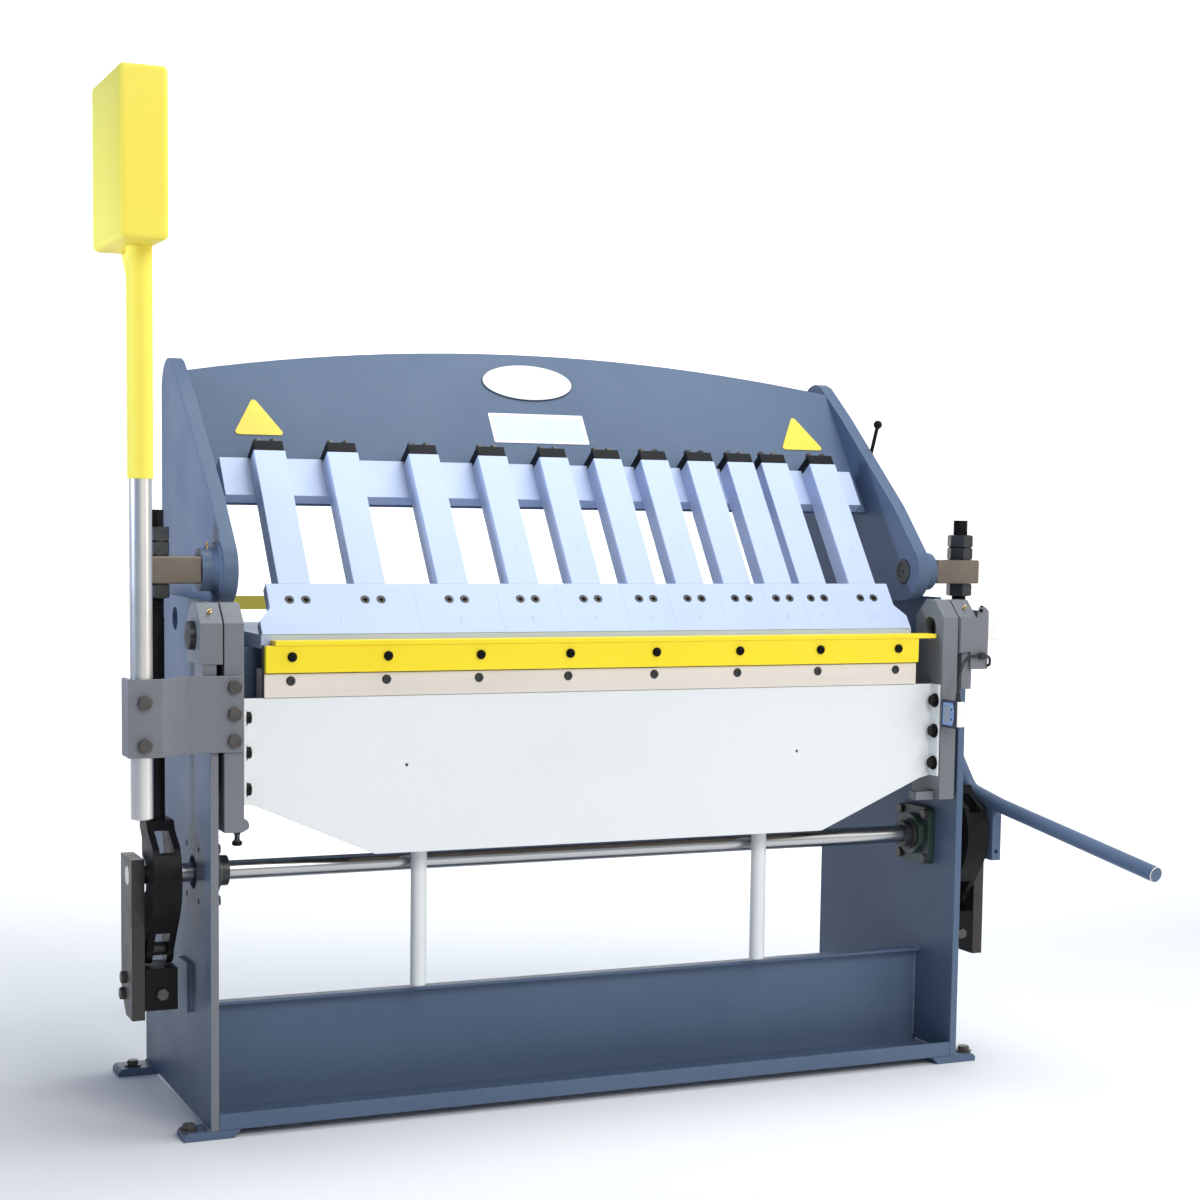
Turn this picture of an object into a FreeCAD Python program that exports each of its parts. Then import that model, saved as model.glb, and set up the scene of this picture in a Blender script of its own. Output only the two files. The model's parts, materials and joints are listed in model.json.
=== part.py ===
import FreeCAD, Part
import math
import os
from FreeCAD import Vector

# Pan brake, in millimetres. X runs along the fold to the operator's right, Y away from the
# operator, Z up. The origin lies on the floor below the middle of the machine. A "depth" is
# measured back from the front edge of the side plates.

# Fingers and the beam that carries them
finger_widths = [295, 160, 120, 135, 95, 110, 95, 85, 70, 155]
wide_finger_bars = (-72.5, 67.5)    # the widest finger hangs on two bars, off its middle
finger_lean = 54.5                  # degrees above the bed
finger_lead = 2                     # tips ahead of the bed's edge
finger_gap = 0.3                    # tips above the bed when clamped
shoe_length = 106.5
shoe_thickness = 22
shoe_shoulder = 22                  # the row's outer ends are cut back above the tips
shoe_shoulder_low = 30
shoe_shoulder_high = 55
bar_width = 60
bar_depth = 40
bar_top = 402.5                     # along the lean, from the tips
tongue_start = 34
rail_low = 329
rail_high = 414
rail_depth = 25
rail_over = 10                      # rail past the last finger, each end
clamp_width = 56
clamp_height = 22
clamp_reach = 22                    # hook over the rail
back_plate_thickness = 8
back_plate_middle = 710.5
back_plate_end = 638
shoe_screw_along = 72
screw_pitch = 30
screw_head_radius = 8.5
screw_head_height = 8
screw_radius = 5
screw_length = 24
clamp_bolt_across = 13
clamp_bolt_head = 7
clamp_bolt_radius = 3.5
clamp_bolt_length = 16
badge_length = 196
badge_height = 91
badge_thickness = 2
badge_z = 1361
nameplate_width = 204
nameplate_thickness = 1
nameplate_low_z = 1237.5
nameplate_high_z = 1296
triangle_width = 100
triangle_low_z = 1239
triangle_high_z = 1312
triangle_left_x = -577
triangle_right_x = 592

# Widths across the machine, outward from the end of the finger row
cheek_room = 34
cheek_thickness = 27
bed_overhang = 2
arm_room = 43
arm_thickness = 35
arm_gap = 2
block_thickness = 40
block_lap = 7                       # the hinge block starts this far inside the side plate
plate_thickness = 15

# Side plates, feet and base
plate_depth = 575
plate_low_depth = 540
plate_step_z = 385
plate_top_z = 940
foot_thickness = 15
foot_inner_lap = 38
front_foot_outer = 47
rear_foot_outer = 66
front_foot_depth = 57
rear_foot_depth = 60
foot_corner = 12
foot_chamfer = 6
foot_bolt_offset = 34
foot_bolt_inset = 25
rear_bolt_inset = 37
foot_bolt_across = 20
foot_bolt_head = 9
foot_bolt_radius = 7
washer_radius = 16
washer_thickness = 3
floor_clearance = 0.5               # foot bolt ends above the floor
lifting_hole_depth = 270
lifting_hole_z = 899
lifting_hole_radius = 21
sheet = 6
base_depth = 147
base_height = 200
base_fold = 20
base_lip = 29

# Bed
bed_top_z = 880
bed_thickness = 25
bed_depth = 490
web_front_depth = 106
web_thickness = 15
web_low_z = 600
stop_bar_gap = 21                   # bar to the beam's pivot pins
stop_bar_width = 20
stop_bar_low_z = 905
stop_bar_height = 26

# Apron hinge
hinge_depth = 47
block_front = 51                    # ahead of and behind the axis
block_low = 48
block_high = 57
block_chamfer = 34
tail_inset = 10
tail_depth = 60
tail_width = 24
tail_low_z = 760
hinge_pin_radius = 25
arm_pin_radius = 22
pin_recess = 18
pin_proud = 10
running_fit = 0.05
seat_fit = 0.01

# Apron
arm_low_z = 540
leaf_face = 29                      # depth of the apron's front face
leaf_thickness = 16
leaf_drop = 18.3                    # leaf top below the axis
leaf_low_z = 770
apron_sheet = 5
apron_low_z = 485
apron_low_half = 458
apron_corner_half = 679
apron_corner_z = 581
flange_low_z = 587
flange_reach = 29
apron_hole_x = 399
apron_hole_z = 644
apron_hole_radius = 3
rear_bar_depth = 80
rear_bar_low_z = 757
rear_bar_high_z = 819
angle_thickness = 8
angle_reach = 78
angle_gap = 23                      # angle's ends to the stop lugs
angle_clear = 12                    # its ends above the apron's slanted corners
angle_z = 500
bending_bar_front = 16
bending_bar_low_z = 814
bending_bar_over = 2
bending_bar_round = 4
blade_front = 12
blade_gap = 1                       # blade to the bed's front edge
blade_height = 8.8
blade_left = 646
blade_right = 700
strip_front = 25
strip_low_z = 770.5
strip_high_z = 812
row_pitch = 175.6
row_count = 8
upper_row_z = 842
lower_row_z = 799.5
row_head_radius = 8.5
row_washer = 2.5                    # under the upper row's smaller heads
upper_head_radius = 5.5
upper_head_height = 6
lower_head_height = 3
row_bolt_radius = 4
row_bolt_end = 41
flange_bolt_depth = 12
flange_bolt_z = (738, 677, 613)
flange_bolt_across = 19
flange_bolt_head = 8
flange_washer_radius = 14
flange_washer = 2.5
flange_bolt_radius = 5
flange_bolt_length = 22
post_x = 353
post_depth = 94
post_radius = 15
post_round = 4
post_low_z = 225
lug_inner_x = 663
lug_lap = 14
lug_low_z = 537
lug_height = 19
lug_depth = 18
lug_width = 24
stop_screw_inset = 7
stop_screw_depth = 20
stop_screw_low_z = 514
stop_screw_radius = 5
stop_knob_radius = 10
stop_knob_height = 15

# Counterweight, on the left arm
rod_x = 888
rod_depth = -33
rod_radius = 19
rod_low_z = 575
rod_chamfer = 2
sleeve_low_z = 1146
sleeve_wall = 2.5
weight_low_z = 1528
weight_height = 276
weight_width = 80
weight_shift = 10
weight_front = -127
weight_rear = 110
weight_round = 10
fin_thickness = 6
fin_low_z = 1405
fin_step_z = 1462
fin_step_depth = 44
fin_low_width = 20
bracket_low_z = 681
bracket_high_z = 813
bracket_sheet = 8
bracket_inner_x = 707
bracket_bend_x = 810
bracket_slant = 48
bracket_flange_end = 0
bracket_bolt_x = 724
bracket_bolt_z = (794, 747, 701)
rod_bolt_z = (774, 702)
bracket_bolt_across = 22
bracket_bolt_head = 9
bracket_bolt_radius = 7
bracket_bolt_grip = 16

# Angle sensor and display, on the right
sensor_sheet = 4
sensor_inset = 1
sensor_right_x = 808
sensor_low_z = 835
sensor_shoulder_z = 903
sensor_high_z = 924
sensor_tab_x = 768
sensor_tab_z = 800
sensor_corner = 8
sensor_flange_low_z = 845
sensor_flange_high_z = 916
encoder_side = 50
encoder_length = 46
coupling_radius = 10
stub_slack = 1
coupling_stub_radius = 5
coupling_stub = 14
sensor_screw_radius = 3.5
sensor_screw_head = 3
sensor_screw_inset = 7
sensor_top_inset = 16
gland_length = 14
cable_radius = 3
display_low_z = 686
display_height = 56
display_reach = 51
bezel_thickness = 5
housing_width = 21
housing_inset = 3
button_radius = 4
button_length = 4
button_proud = 1.5
button_travel = 1.5
button_pitch = 10
button_reach = 38
button_slack = 0.2
relief_radius = 6
relief_wall = 1
cable_bend_share = 0.45             # of the shorter stretch beside each bend
cable_points = [
    (718, -43, 757),
    (718, -43, 775),
    (723, -40, 795),
    (733, -33, 812),
    (747, -22, 822),
    (764, -15, 827),
    (781, -15, 827),
]

# Clamping shaft, cranks and tie rods
shaft_depth = 134
shaft_z = 453
shaft_radius = 17.5
shaft_hole_radius = 30
bearing_side = 117
bearing_corner = 15
bearing_flange = 16
bearing_boss_radius = 42
bearing_boss = 11
insert_radius = 31
insert_proud = 5
bearing_bolt_pitch = 92
bearing_bolt_across = 17
bearing_bolt_head = 7
bearing_bolt_radius = 5
bearing_bolt_short = 2              # its end lies this deep in the plate
collar_radius = 27.5
collar_width = 14
side_play = 0.5
small_gap = 0.3
socket_share = 0.6                  # a socket's depth in its screw's head
tiny = 1e-6
crank_radius = 134
crank_offset = 64                   # rod line outside the side plate
yoke_slot = 25
yoke_wall = 12
yoke_clear = 5.5                    # yoke to crank arm
yoke_head_low_z = 535
yoke_head_high_z = 552
yoke_head_half = 28
yoke_bow = 97                       # the yoke's front passes this far ahead of the shaft
yoke_clearance = 14
yoke_web = 14
yoke_eye_radius = 26
yoke_window_z = 500
yoke_low_bow = 65                   # the bow starts this far below the shaft
yoke_high_bow = 58
yoke_low_inset = 20
yoke_high_inset = 17
yoke_throat = 8
yoke_shoulder = 12
crank_pin_radius = 12
crank_thickness = 23
crank_front = 41
crank_rear = 54
crank_low_z = 200
crank_high_z = 486
crank_bevel = 40
crank_block_low_z = 216
crank_block_high_z = 291
crank_block_inner = 28
crank_block_rear = 38
crank_bolt_across = 19
crank_bolt_head = 8
crank_bolt_radius = 6
crank_bolt_length = 50
crank_bolt_places = ((21, 267), (31, 236))
stop_bolt_z = 245
tie_rod_radius = 15
tie_rod_high_z = 1099
rod_play = 3.3

# Beam pivots and the swivels the tie rods pull on
pivot_inset = 38                    # beam pivot from the side plates' rear edge
pivot_z = 900
pivot_pin_radius = 20
pivot_head_radius = 26
pivot_head = 5
boss_z = 991
boss_radius = 59.5
cheek_rear_z = 1330                 # below the cheek's top corner
cheek_corner_reach = 63
cheek_corner_rise = 56
cheek_corner_bulge = (0.3, 0.73)     # where the corner's arc passes, as shares of reach and rise
cheek_edge = ((85, 1378), (170, 1313), (305, 1200), (395, 1124))  # ahead of the rear edge, z
hub_length = 32
hub_root_radius = 48
hub_radius = 38
hub_root = 12
trunnion_radius = 25
trunnion_proud = 2
swivel_half = 34
swivel_height = 48
swivel_end = 24                     # block past the rod line
nut_across = 46
nut_height = 25.5
lower_nut_height = 26
nipple_radius = 3
nipple_stem_radius = 2.5
nipple_stem = 6
nipple_height = 12
nipple_hex = 4
nipple_across = 7

# Handle on the right crank
handle_radius = 15
handle_tip_ahead = 412
handle_tip_z = 441
handle_bend_depth = 20
handle_bend_z = 518
handle_knee_depth = 135
handle_knee_z = 539
handle_end_depth = 188
handle_end_z = 600
handle_tip_x = 923
handle_web = 15
handle_web_reach = 60
handle_bends = (150, 60)
handle_lug_width = 21
handle_lug_depth = 33
handle_lug_reach = 28
handle_lug_low_z = 404
handle_lug_hole_z = 422
handle_lug_hole_radius = 4

# Lock lever on the right cheek
lever_depth = 350
lever_z = 1180
lever_hub_radius = 18
lever_hub_length = 12
lever_stick_radius = 4
lever_ball_radius = 9
lever_ball_depth = 313
lever_ball_z = 1294
lever_ball_out = 12
lever_pin_radius = 6
lever_pin_head = 3
lever_pin_head_radius = 9.5

# Worked out from the above
fold_half = sum(finger_widths) / 2
pivot_depth = plate_depth - pivot_inset
stop_bar_depth = pivot_depth - pivot_pin_radius - stop_bar_gap - stop_bar_width
cheek_inner = fold_half + cheek_room
cheek_outer = cheek_inner + cheek_thickness
bed_half = fold_half + bed_overhang
angle_half = lug_inner_x - angle_gap
apron_slope = (apron_corner_z - apron_low_z) / (apron_corner_half - apron_low_half)
angle_low_half = apron_low_half + (angle_z - apron_low_z - angle_clear) / apron_slope
angle_side_z = angle_z + (angle_half - angle_low_half) * apron_slope
arm_inner = bed_half + arm_room
arm_outer = arm_inner + arm_thickness
block_inner = arm_outer + arm_gap
block_outer = block_inner + block_thickness
plate_inner = block_inner + block_lap
plate_outer = plate_inner + plate_thickness
hub_end = cheek_outer + hub_length
rod_line = plate_outer + crank_offset
crank_inner = rod_line + yoke_slot / 2 + yoke_wall + yoke_clear
crank_outer = crank_inner + crank_thickness
crank_pin_z = shaft_z - crank_radius
plate_front_y = (handle_tip_ahead - plate_depth) / 2
lean = math.radians(finger_lean)
tip_depth = hinge_depth - finger_lead
tip_z = bed_top_z + finger_gap
block_face = hinge_depth - block_front
block_rear = hinge_depth + block_front
block_low_z = bed_top_z - block_low
block_high_z = bed_top_z + block_high
leaf_top_z = bed_top_z - leaf_drop
rail_behind = bar_depth + rail_depth
plate_behind = rail_behind + back_plate_thickness


def at(x, depth, z):
    return Vector(x, plate_front_y + depth, z)


def on_lean(along, behind):
    """Depth and height of a place on the fingers' plane."""
    depth = tip_depth + along * math.cos(lean) + behind * math.sin(lean)
    height = tip_z + along * math.sin(lean) - behind * math.cos(lean)
    return depth, height


def along_at(height, behind):
    return (height - tip_z + behind * math.cos(lean)) / math.sin(lean)


def block(x0, x1, depth0, depth1, z0, z1):
    corner = at(min(x0, x1), depth0, z0)
    return Part.makeBox(abs(x1 - x0), depth1 - depth0, z1 - z0, corner)


def face_of(steps):
    """Closed flat face; a step is a point, or (middle, end) of an arc."""
    edges = []
    here = steps[0]
    for step in steps[1:] + [steps[0]]:
        if isinstance(step, tuple):
            edges.append(Part.Arc(here, step[0], step[1]).toShape())
            here = step[1]
        elif (step - here).Length > tiny:
            edges.append(Part.LineSegment(here, step).toShape())
            here = step
    return Part.Face(Part.Wire(edges))


def side_profile(x0, x1, steps):
    """Extrudes an outline of (depth, z) steps across the machine."""
    placed = []
    for step in steps:
        if isinstance(step[0], tuple):
            placed.append((at(x0, *step[0]), at(x0, *step[1])))
        else:
            placed.append(at(x0, *step))
    return face_of(placed).extrude(Vector(x1 - x0, 0, 0))


def front_profile(depth0, depth1, points):
    """Extrudes an outline of (x, z) points from depth0 back to depth1."""
    placed = [at(x, depth0, z) for x, z in points]
    return face_of(placed).extrude(Vector(0, depth1 - depth0, 0))


def top_profile(z0, z1, points):
    """Extrudes an outline of (x, depth) points upward."""
    placed = [at(x, depth, z0) for x, depth in points]
    return face_of(placed).extrude(Vector(0, 0, z1 - z0))


def lean_point(x, along, behind):
    return at(x, *on_lean(along, behind))


def lean_plate(steps, behind0, behind1):
    """Extrudes an outline of (x, along) steps through the fingers' plane."""
    placed = []
    for step in steps:
        if isinstance(step[0], tuple):
            placed.append(tuple(lean_point(*point, behind0) for point in step))
        else:
            placed.append(lean_point(*step, behind0))
    return face_of(placed).extrude(lean_back() * (behind1 - behind0))


def lean_back():
    return Vector(0, math.sin(lean), -math.cos(lean))


def lean_up():
    return Vector(0, math.cos(lean), math.sin(lean))


def rectangle(x0, x1, low, high):
    return [(x0, low), (x1, low), (x1, high), (x0, high)]


def cylinder(start, end, radius):
    return Part.makeCylinder(radius, (end - start).Length, start, end - start)


def across(x0, x1, depth, z, radius):
    return cylinder(at(x0, depth, z), at(x1, depth, z), radius)


def through(x, depth0, depth1, z, radius):
    return cylinder(at(x, depth0, z), at(x, depth1, z), radius)


def mirrored(shape):
    return shape.mirror(Vector(0, 0, 0), Vector(1, 0, 0))


def both_sides(shape):
    return [mirrored(shape), shape]


def hexagon(across_flats, height):
    radius = across_flats / math.sqrt(3)
    corners = []
    for index in range(6):
        angle = math.radians(60 * index)
        corners.append(Vector(radius * math.cos(angle), radius * math.sin(angle), 0))
    return face_of(corners).extrude(Vector(0, 0, height))


def turned(shape, base, direction):
    """Stands a shape drawn on +Z at base, pointing along direction."""
    shape.Placement = FreeCAD.Placement(base, FreeCAD.Rotation(Vector(0, 0, 1), direction))
    return shape


def hex_bolt(base, outward, across_flats, head, radius, length):
    bolt = hexagon(across_flats, head)
    bolt = bolt.fuse(Part.makeCylinder(radius, length, Vector(0, 0, -length)))
    return turned(bolt.removeSplitter(), base, outward)


def nutted_bolt(base, outward, across_flats, head, radius, grip):
    """A hex bolt with its nut on the far side of what it holds."""
    bolt = hexagon(across_flats, head)
    shank = grip + head + radius
    bolt = bolt.fuse(Part.makeCylinder(radius, shank, Vector(0, 0, -shank)))
    nut = hexagon(across_flats, head)
    nut.translate(Vector(0, 0, -grip - head))
    return turned(bolt.fuse(nut).removeSplitter(), base, outward)


def round_bolt(base, outward, head_radius, head, radius, length):
    bolt = Part.makeCylinder(head_radius, head)
    socket = hexagon(head_radius, head * socket_share)
    socket.translate(Vector(0, 0, head * (1 - socket_share)))
    bolt = bolt.cut(socket)
    bolt = bolt.fuse(Part.makeCylinder(radius, length, Vector(0, 0, -length)))
    return turned(bolt.removeSplitter(), base, outward)


def nipple(base, outward):
    stem = Part.makeCylinder(nipple_stem_radius, nipple_stem, Vector(0, 0, -nipple_stem))
    hexed = hexagon(nipple_across, nipple_hex)
    neck = Part.makeCylinder(nipple_stem_radius, nipple_height - nipple_hex)
    head = Part.makeSphere(nipple_radius, Vector(0, 0, nipple_height - nipple_hex))
    return turned(stem.fuse([hexed, neck, head]).removeSplitter(), base, outward)


def nipple_hole(base, outward):
    start = base - outward * (nipple_stem + small_gap)
    return cylinder(start, base + outward, nipple_stem_radius + seat_fit)


def save(node, shapes):
    shape = shapes[0] if len(shapes) == 1 else Part.makeCompound(shapes)
    shape.exportStep("parts/" + node + ".step")


def side_plate():
    """The right-hand plate; the left one is its mirror image."""
    plate = side_profile(plate_inner, plate_outer, [
        (0, foot_thickness),
        (plate_low_depth, foot_thickness),
        (plate_low_depth, plate_step_z),
        (plate_depth, plate_step_z + plate_depth - plate_low_depth),
        (plate_depth, plate_top_z),
        (block_rear, plate_top_z),
        (block_rear, block_low_z),
        (tail_depth, block_low_z),
        (tail_depth, tail_low_z),
        (0, tail_low_z),
    ])
    holes = [
        across(plate_inner, plate_outer, lifting_hole_depth, lifting_hole_z, lifting_hole_radius),
        across(plate_inner, plate_outer, shaft_depth, shaft_z, shaft_hole_radius),
        across(plate_inner, plate_outer, pivot_depth, pivot_z, pivot_pin_radius + seat_fit),
    ]
    for depth, z in bearing_bolt_places():
        holes.append(across(plate_inner, plate_outer, depth, z, bearing_bolt_radius + seat_fit))
    return plate.cut(holes)


def feet():
    shapes = []
    inner = plate_inner - foot_inner_lap
    rear = plate_low_depth - rear_foot_depth
    front_outer = plate_outer + front_foot_outer
    rear_outer = plate_outer + rear_foot_outer
    places = (
        (front_outer, 0, front_foot_depth, foot_bolt_inset),
        (rear_outer, rear, plate_low_depth, rear + rear_foot_depth - rear_bolt_inset),
    )
    for outer, depth0, depth1, bolt_depth in places:
        outline = [
            (inner + foot_corner, 0),
            (outer, 0),
            (outer, foot_thickness - foot_chamfer),
            (outer - foot_chamfer, foot_thickness),
            (inner, foot_thickness),
            (inner, foot_corner),
        ]
        foot = front_profile(depth0, depth1, outline)
        centre = at(plate_outer + foot_bolt_offset, bolt_depth, 0)
        hole = cylinder(centre, centre + Vector(0, 0, foot_thickness), foot_bolt_radius + seat_fit)
        shapes += both_sides(foot.cut(hole))
    return shapes


def foot_bolts():
    shapes = []
    rear = plate_low_depth - rear_bolt_inset
    for depth in (foot_bolt_inset, rear):
        base = at(plate_outer + foot_bolt_offset, depth, foot_thickness + washer_thickness)
        length = foot_thickness + washer_thickness - floor_clearance
        bolt = hex_bolt(base, Vector(0, 0, 1), foot_bolt_across, foot_bolt_head, foot_bolt_radius, length)
        washer_base = base - Vector(0, 0, washer_thickness)
        washer = Part.makeCylinder(washer_radius, washer_thickness, washer_base)
        shapes += both_sides(bolt.fuse(washer).removeSplitter())
    return shapes


def base_member():
    low = foot_thickness
    high = foot_thickness + base_height
    fold = base_depth - sheet - base_fold
    return side_profile(-plate_inner, plate_inner, [
        (0, low),
        (base_depth, low),
        (base_depth, high),
        (fold, high),
        (fold, high - sheet),
        (base_depth - sheet, high - sheet),
        (base_depth - sheet, low + sheet),
        (sheet, low + sheet),
        (sheet, low + base_lip),
        (0, low + base_lip),
    ])


def bed_plate():
    return block(-bed_half, bed_half, hinge_depth, bed_depth, bed_top_z - bed_thickness, bed_top_z)


def bed_webs():
    high = bed_top_z - bed_thickness
    shapes = []
    for depth in (web_front_depth, bed_depth - web_thickness):
        shapes.append(block(-plate_inner, plate_inner, depth, depth + web_thickness, web_low_z, high))
    return shapes


def stop_bar():
    high = stop_bar_low_z + stop_bar_height
    rear = stop_bar_depth + stop_bar_width
    return block(-plate_inner, plate_inner, stop_bar_depth, rear, stop_bar_low_z, high)


def hinged_block(x0, x1, low_z):
    """The shape that the hinge blocks and the arms share, with its chamfered top."""
    return side_profile(x0, x1, [
        (block_face, low_z),
        (block_rear, low_z),
        (block_rear, block_high_z - block_chamfer),
        (block_rear - block_chamfer, block_high_z),
        (block_face + block_chamfer, block_high_z),
        (block_face, block_high_z - block_chamfer),
    ])


def block_nipple_place():
    base = at((block_inner + block_outer) / 2, block_face + block_chamfer / 2, 0)
    base.z = block_high_z - block_chamfer / 2
    return base, Vector(0, -1, 1).normalize()


def hinge_block():
    body = hinged_block(block_inner, block_outer, block_low_z)
    tail_x = block_inner + tail_inset
    tail = block(tail_x, tail_x + tail_width, 0, tail_depth, tail_low_z, block_low_z)
    body = body.fuse(tail).removeSplitter()
    bore = across(block_inner, block_outer, hinge_depth, bed_top_z, hinge_pin_radius + running_fit)
    return body.cut([bore, nipple_hole(*block_nipple_place())])


def hinge_pins():
    inner = arm_inner + pin_recess
    outer = block_outer + pin_proud
    pin = across(inner, arm_outer, hinge_depth, bed_top_z, arm_pin_radius)
    pin = pin.fuse(across(arm_outer, outer, hinge_depth, bed_top_z, hinge_pin_radius)).removeSplitter()
    flange = sensor_right_x - sensor_sheet
    coupling = across(outer, flange - side_play, hinge_depth, bed_top_z, coupling_radius)
    stub_end = sensor_right_x + coupling_stub - sensor_sheet
    stub = across(outer, stub_end, hinge_depth, bed_top_z, coupling_stub_radius)
    return both_sides(pin) + [coupling.fuse(stub).removeSplitter()]


def bearing_bolt_places():
    half = bearing_bolt_pitch / 2
    corners = ((-half, -half), (-half, half), (half, -half), (half, half))
    return [(shaft_depth + depth, shaft_z + z) for depth, z in corners]


def bearing_housing():
    half = bearing_side / 2
    face = plate_inner - bearing_flange
    flange = block(face, plate_inner, shaft_depth - half, shaft_depth + half,
                   shaft_z - half, shaft_z + half)
    flange = flange.makeFillet(bearing_corner, [edge for edge in flange.Edges if along_x(edge)])
    boss = across(face - bearing_boss, face, shaft_depth, shaft_z, bearing_boss_radius)
    seat = across(face - bearing_boss, plate_inner, shaft_depth, shaft_z, insert_radius + seat_fit)
    holes = [seat]
    for depth, z in bearing_bolt_places():
        holes.append(across(face, plate_inner, depth, z, bearing_bolt_radius + seat_fit))
    return flange.fuse(boss).removeSplitter().cut(holes)


def along_x(edge):
    first = edge.Vertexes[0].Point
    last = edge.Vertexes[-1].Point
    return abs(last.x - first.x) > max(abs(last.y - first.y), abs(last.z - first.z))


def along_y(edge):
    first = edge.Vertexes[0].Point
    last = edge.Vertexes[-1].Point
    return abs(last.y - first.y) > max(abs(last.x - first.x), abs(last.z - first.z))


def insert_face():
    return plate_inner - bearing_flange - bearing_boss - insert_proud


def bearing_insert():
    ring = across(insert_face(), plate_inner, shaft_depth, shaft_z, insert_radius)
    return ring.cut(across(insert_face(), plate_inner, shaft_depth, shaft_z, shaft_radius + running_fit))


def bearing_bolts():
    shapes = []
    length = bearing_flange + plate_thickness - bearing_bolt_short
    for depth, z in bearing_bolt_places():
        base = at(plate_inner - bearing_flange, depth, z)
        bolt = hex_bolt(base, Vector(-1, 0, 0), bearing_bolt_across, bearing_bolt_head,
                        bearing_bolt_radius, length)
        shapes += both_sides(bolt)
    return shapes


def pivot_pin():
    pin = across(cheek_inner, plate_outer, pivot_depth, pivot_z, pivot_pin_radius)
    head = across(plate_outer, plate_outer + pivot_head, pivot_depth, pivot_z, pivot_head_radius)
    return pin.fuse(head).removeSplitter()


def sensor_bracket():
    left = block_inner + sensor_inset
    step_x = block_outer + sensor_sheet
    corner = sensor_corner
    front = front_profile(block_face - sensor_sheet, block_face, [
        (left, sensor_low_z),
        (left, sensor_shoulder_z),
        (block_outer, sensor_shoulder_z),
        (step_x, sensor_high_z),
        (sensor_right_x - corner, sensor_high_z),
        (sensor_right_x, sensor_high_z - corner),
        (sensor_right_x, sensor_tab_z),
        (sensor_tab_x, sensor_tab_z),
        (sensor_tab_x, sensor_low_z),
    ])
    rear = hinge_depth + encoder_side / 2
    inner = sensor_right_x - sensor_sheet
    flange = block(inner, sensor_right_x, block_face, rear, sensor_flange_low_z, sensor_flange_high_z)
    hole = across(inner, sensor_right_x, hinge_depth, bed_top_z, coupling_stub_radius + stub_slack)
    return front.fuse(flange).removeSplitter().cut(hole)


def encoder_box():
    half = encoder_side / 2
    box = block(sensor_right_x, sensor_right_x + encoder_length, hinge_depth - half,
                hinge_depth + half, bed_top_z - half, bed_top_z + half)
    stub_end = sensor_right_x + coupling_stub
    bore = across(sensor_right_x, stub_end, hinge_depth, bed_top_z, coupling_stub_radius + running_fit)
    return box.cut(bore)


def sensor_fittings():
    """Three small screws and the gland that the display's cable comes out of."""
    front = block_face - sensor_sheet
    top_x = sensor_right_x - sensor_top_inset
    low = sensor_flange_low_z
    places = (
        (at(block_outer + sensor_screw_inset, front, sensor_high_z - sensor_screw_inset), Vector(0, -1, 0)),
        (at(top_x, front + sensor_sheet / 2, sensor_high_z), Vector(0, 0, 1)),
        (at(sensor_right_x, sensor_screw_inset, low + sensor_screw_inset), Vector(1, 0, 0)),
    )
    shapes = []
    for base, outward in places:
        head = Part.makeCylinder(sensor_screw_radius, sensor_screw_head)
        shapes.append(turned(head, base, outward))
    x, depth, z = cable_points[-1]
    start = x + small_gap
    shapes.append(across(start, start + gland_length, depth, z, front - depth))
    return shapes


def cheek_outline():
    boss = math.sqrt(0.5) * boss_radius
    corner_end = (plate_depth - cheek_corner_reach, cheek_rear_z + cheek_corner_rise)
    reach_share, rise_share = cheek_corner_bulge
    corner_middle = (plate_depth - reach_share * cheek_corner_reach,
                     cheek_rear_z + rise_share * cheek_corner_rise)
    return [
        (shaft_depth, boss_z - boss_radius),
        (pivot_depth - pivot_inset, boss_z - boss_radius),
        (pivot_depth - pivot_inset, pivot_z),
        ((pivot_depth, pivot_z - pivot_inset), (plate_depth, pivot_z)),
        (plate_depth, cheek_rear_z),
        (corner_middle, corner_end),
        *[(plate_depth - ahead, z) for ahead, z in cheek_edge],
        (shaft_depth - boss, boss_z + boss),
        ((shaft_depth - boss_radius, boss_z), (shaft_depth, boss_z - boss_radius)),
    ]


def hub_nipple_place():
    base = at(cheek_outer + hub_length / 2, shaft_depth, boss_z + hub_radius)
    return base, Vector(0, 0, 1)


def cheek():
    body = side_profile(cheek_inner, cheek_outer, cheek_outline())
    cone = Part.makeCone(hub_root_radius, hub_radius, hub_root,
                         at(cheek_outer, shaft_depth, boss_z), Vector(1, 0, 0))
    hub = across(cheek_outer + hub_root, hub_end, shaft_depth, boss_z, hub_radius)
    body = body.fuse([cone, hub]).removeSplitter()
    return body.cut([
        across(cheek_inner, hub_end, shaft_depth, boss_z, trunnion_radius + running_fit),
        across(cheek_inner, cheek_outer, pivot_depth, pivot_z, pivot_pin_radius + running_fit),
        nipple_hole(*hub_nipple_place()),
    ])


def back_plate():
    return lean_plate([
        (-cheek_inner, rail_low),
        (cheek_inner, rail_low),
        (cheek_inner, back_plate_end),
        ((0, back_plate_middle), (-cheek_inner, back_plate_end)),
    ], rail_behind, plate_behind)


def finger_rail():
    half = fold_half + rail_over
    return lean_plate(rectangle(-half, half, rail_low, rail_high), bar_depth, rail_behind)


def finger_places():
    """Left edge, right edge and bar centres of each finger, from the left."""
    places = []
    left = -fold_half
    for width in finger_widths:
        centre = left + width / 2
        offsets = wide_finger_bars if width == max(finger_widths) else (0,)
        places.append((left, left + width, [centre + offset for offset in offsets]))
        left += width
    return places


def bar_centres():
    return [x for place in finger_places() for x in place[2]]


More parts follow.
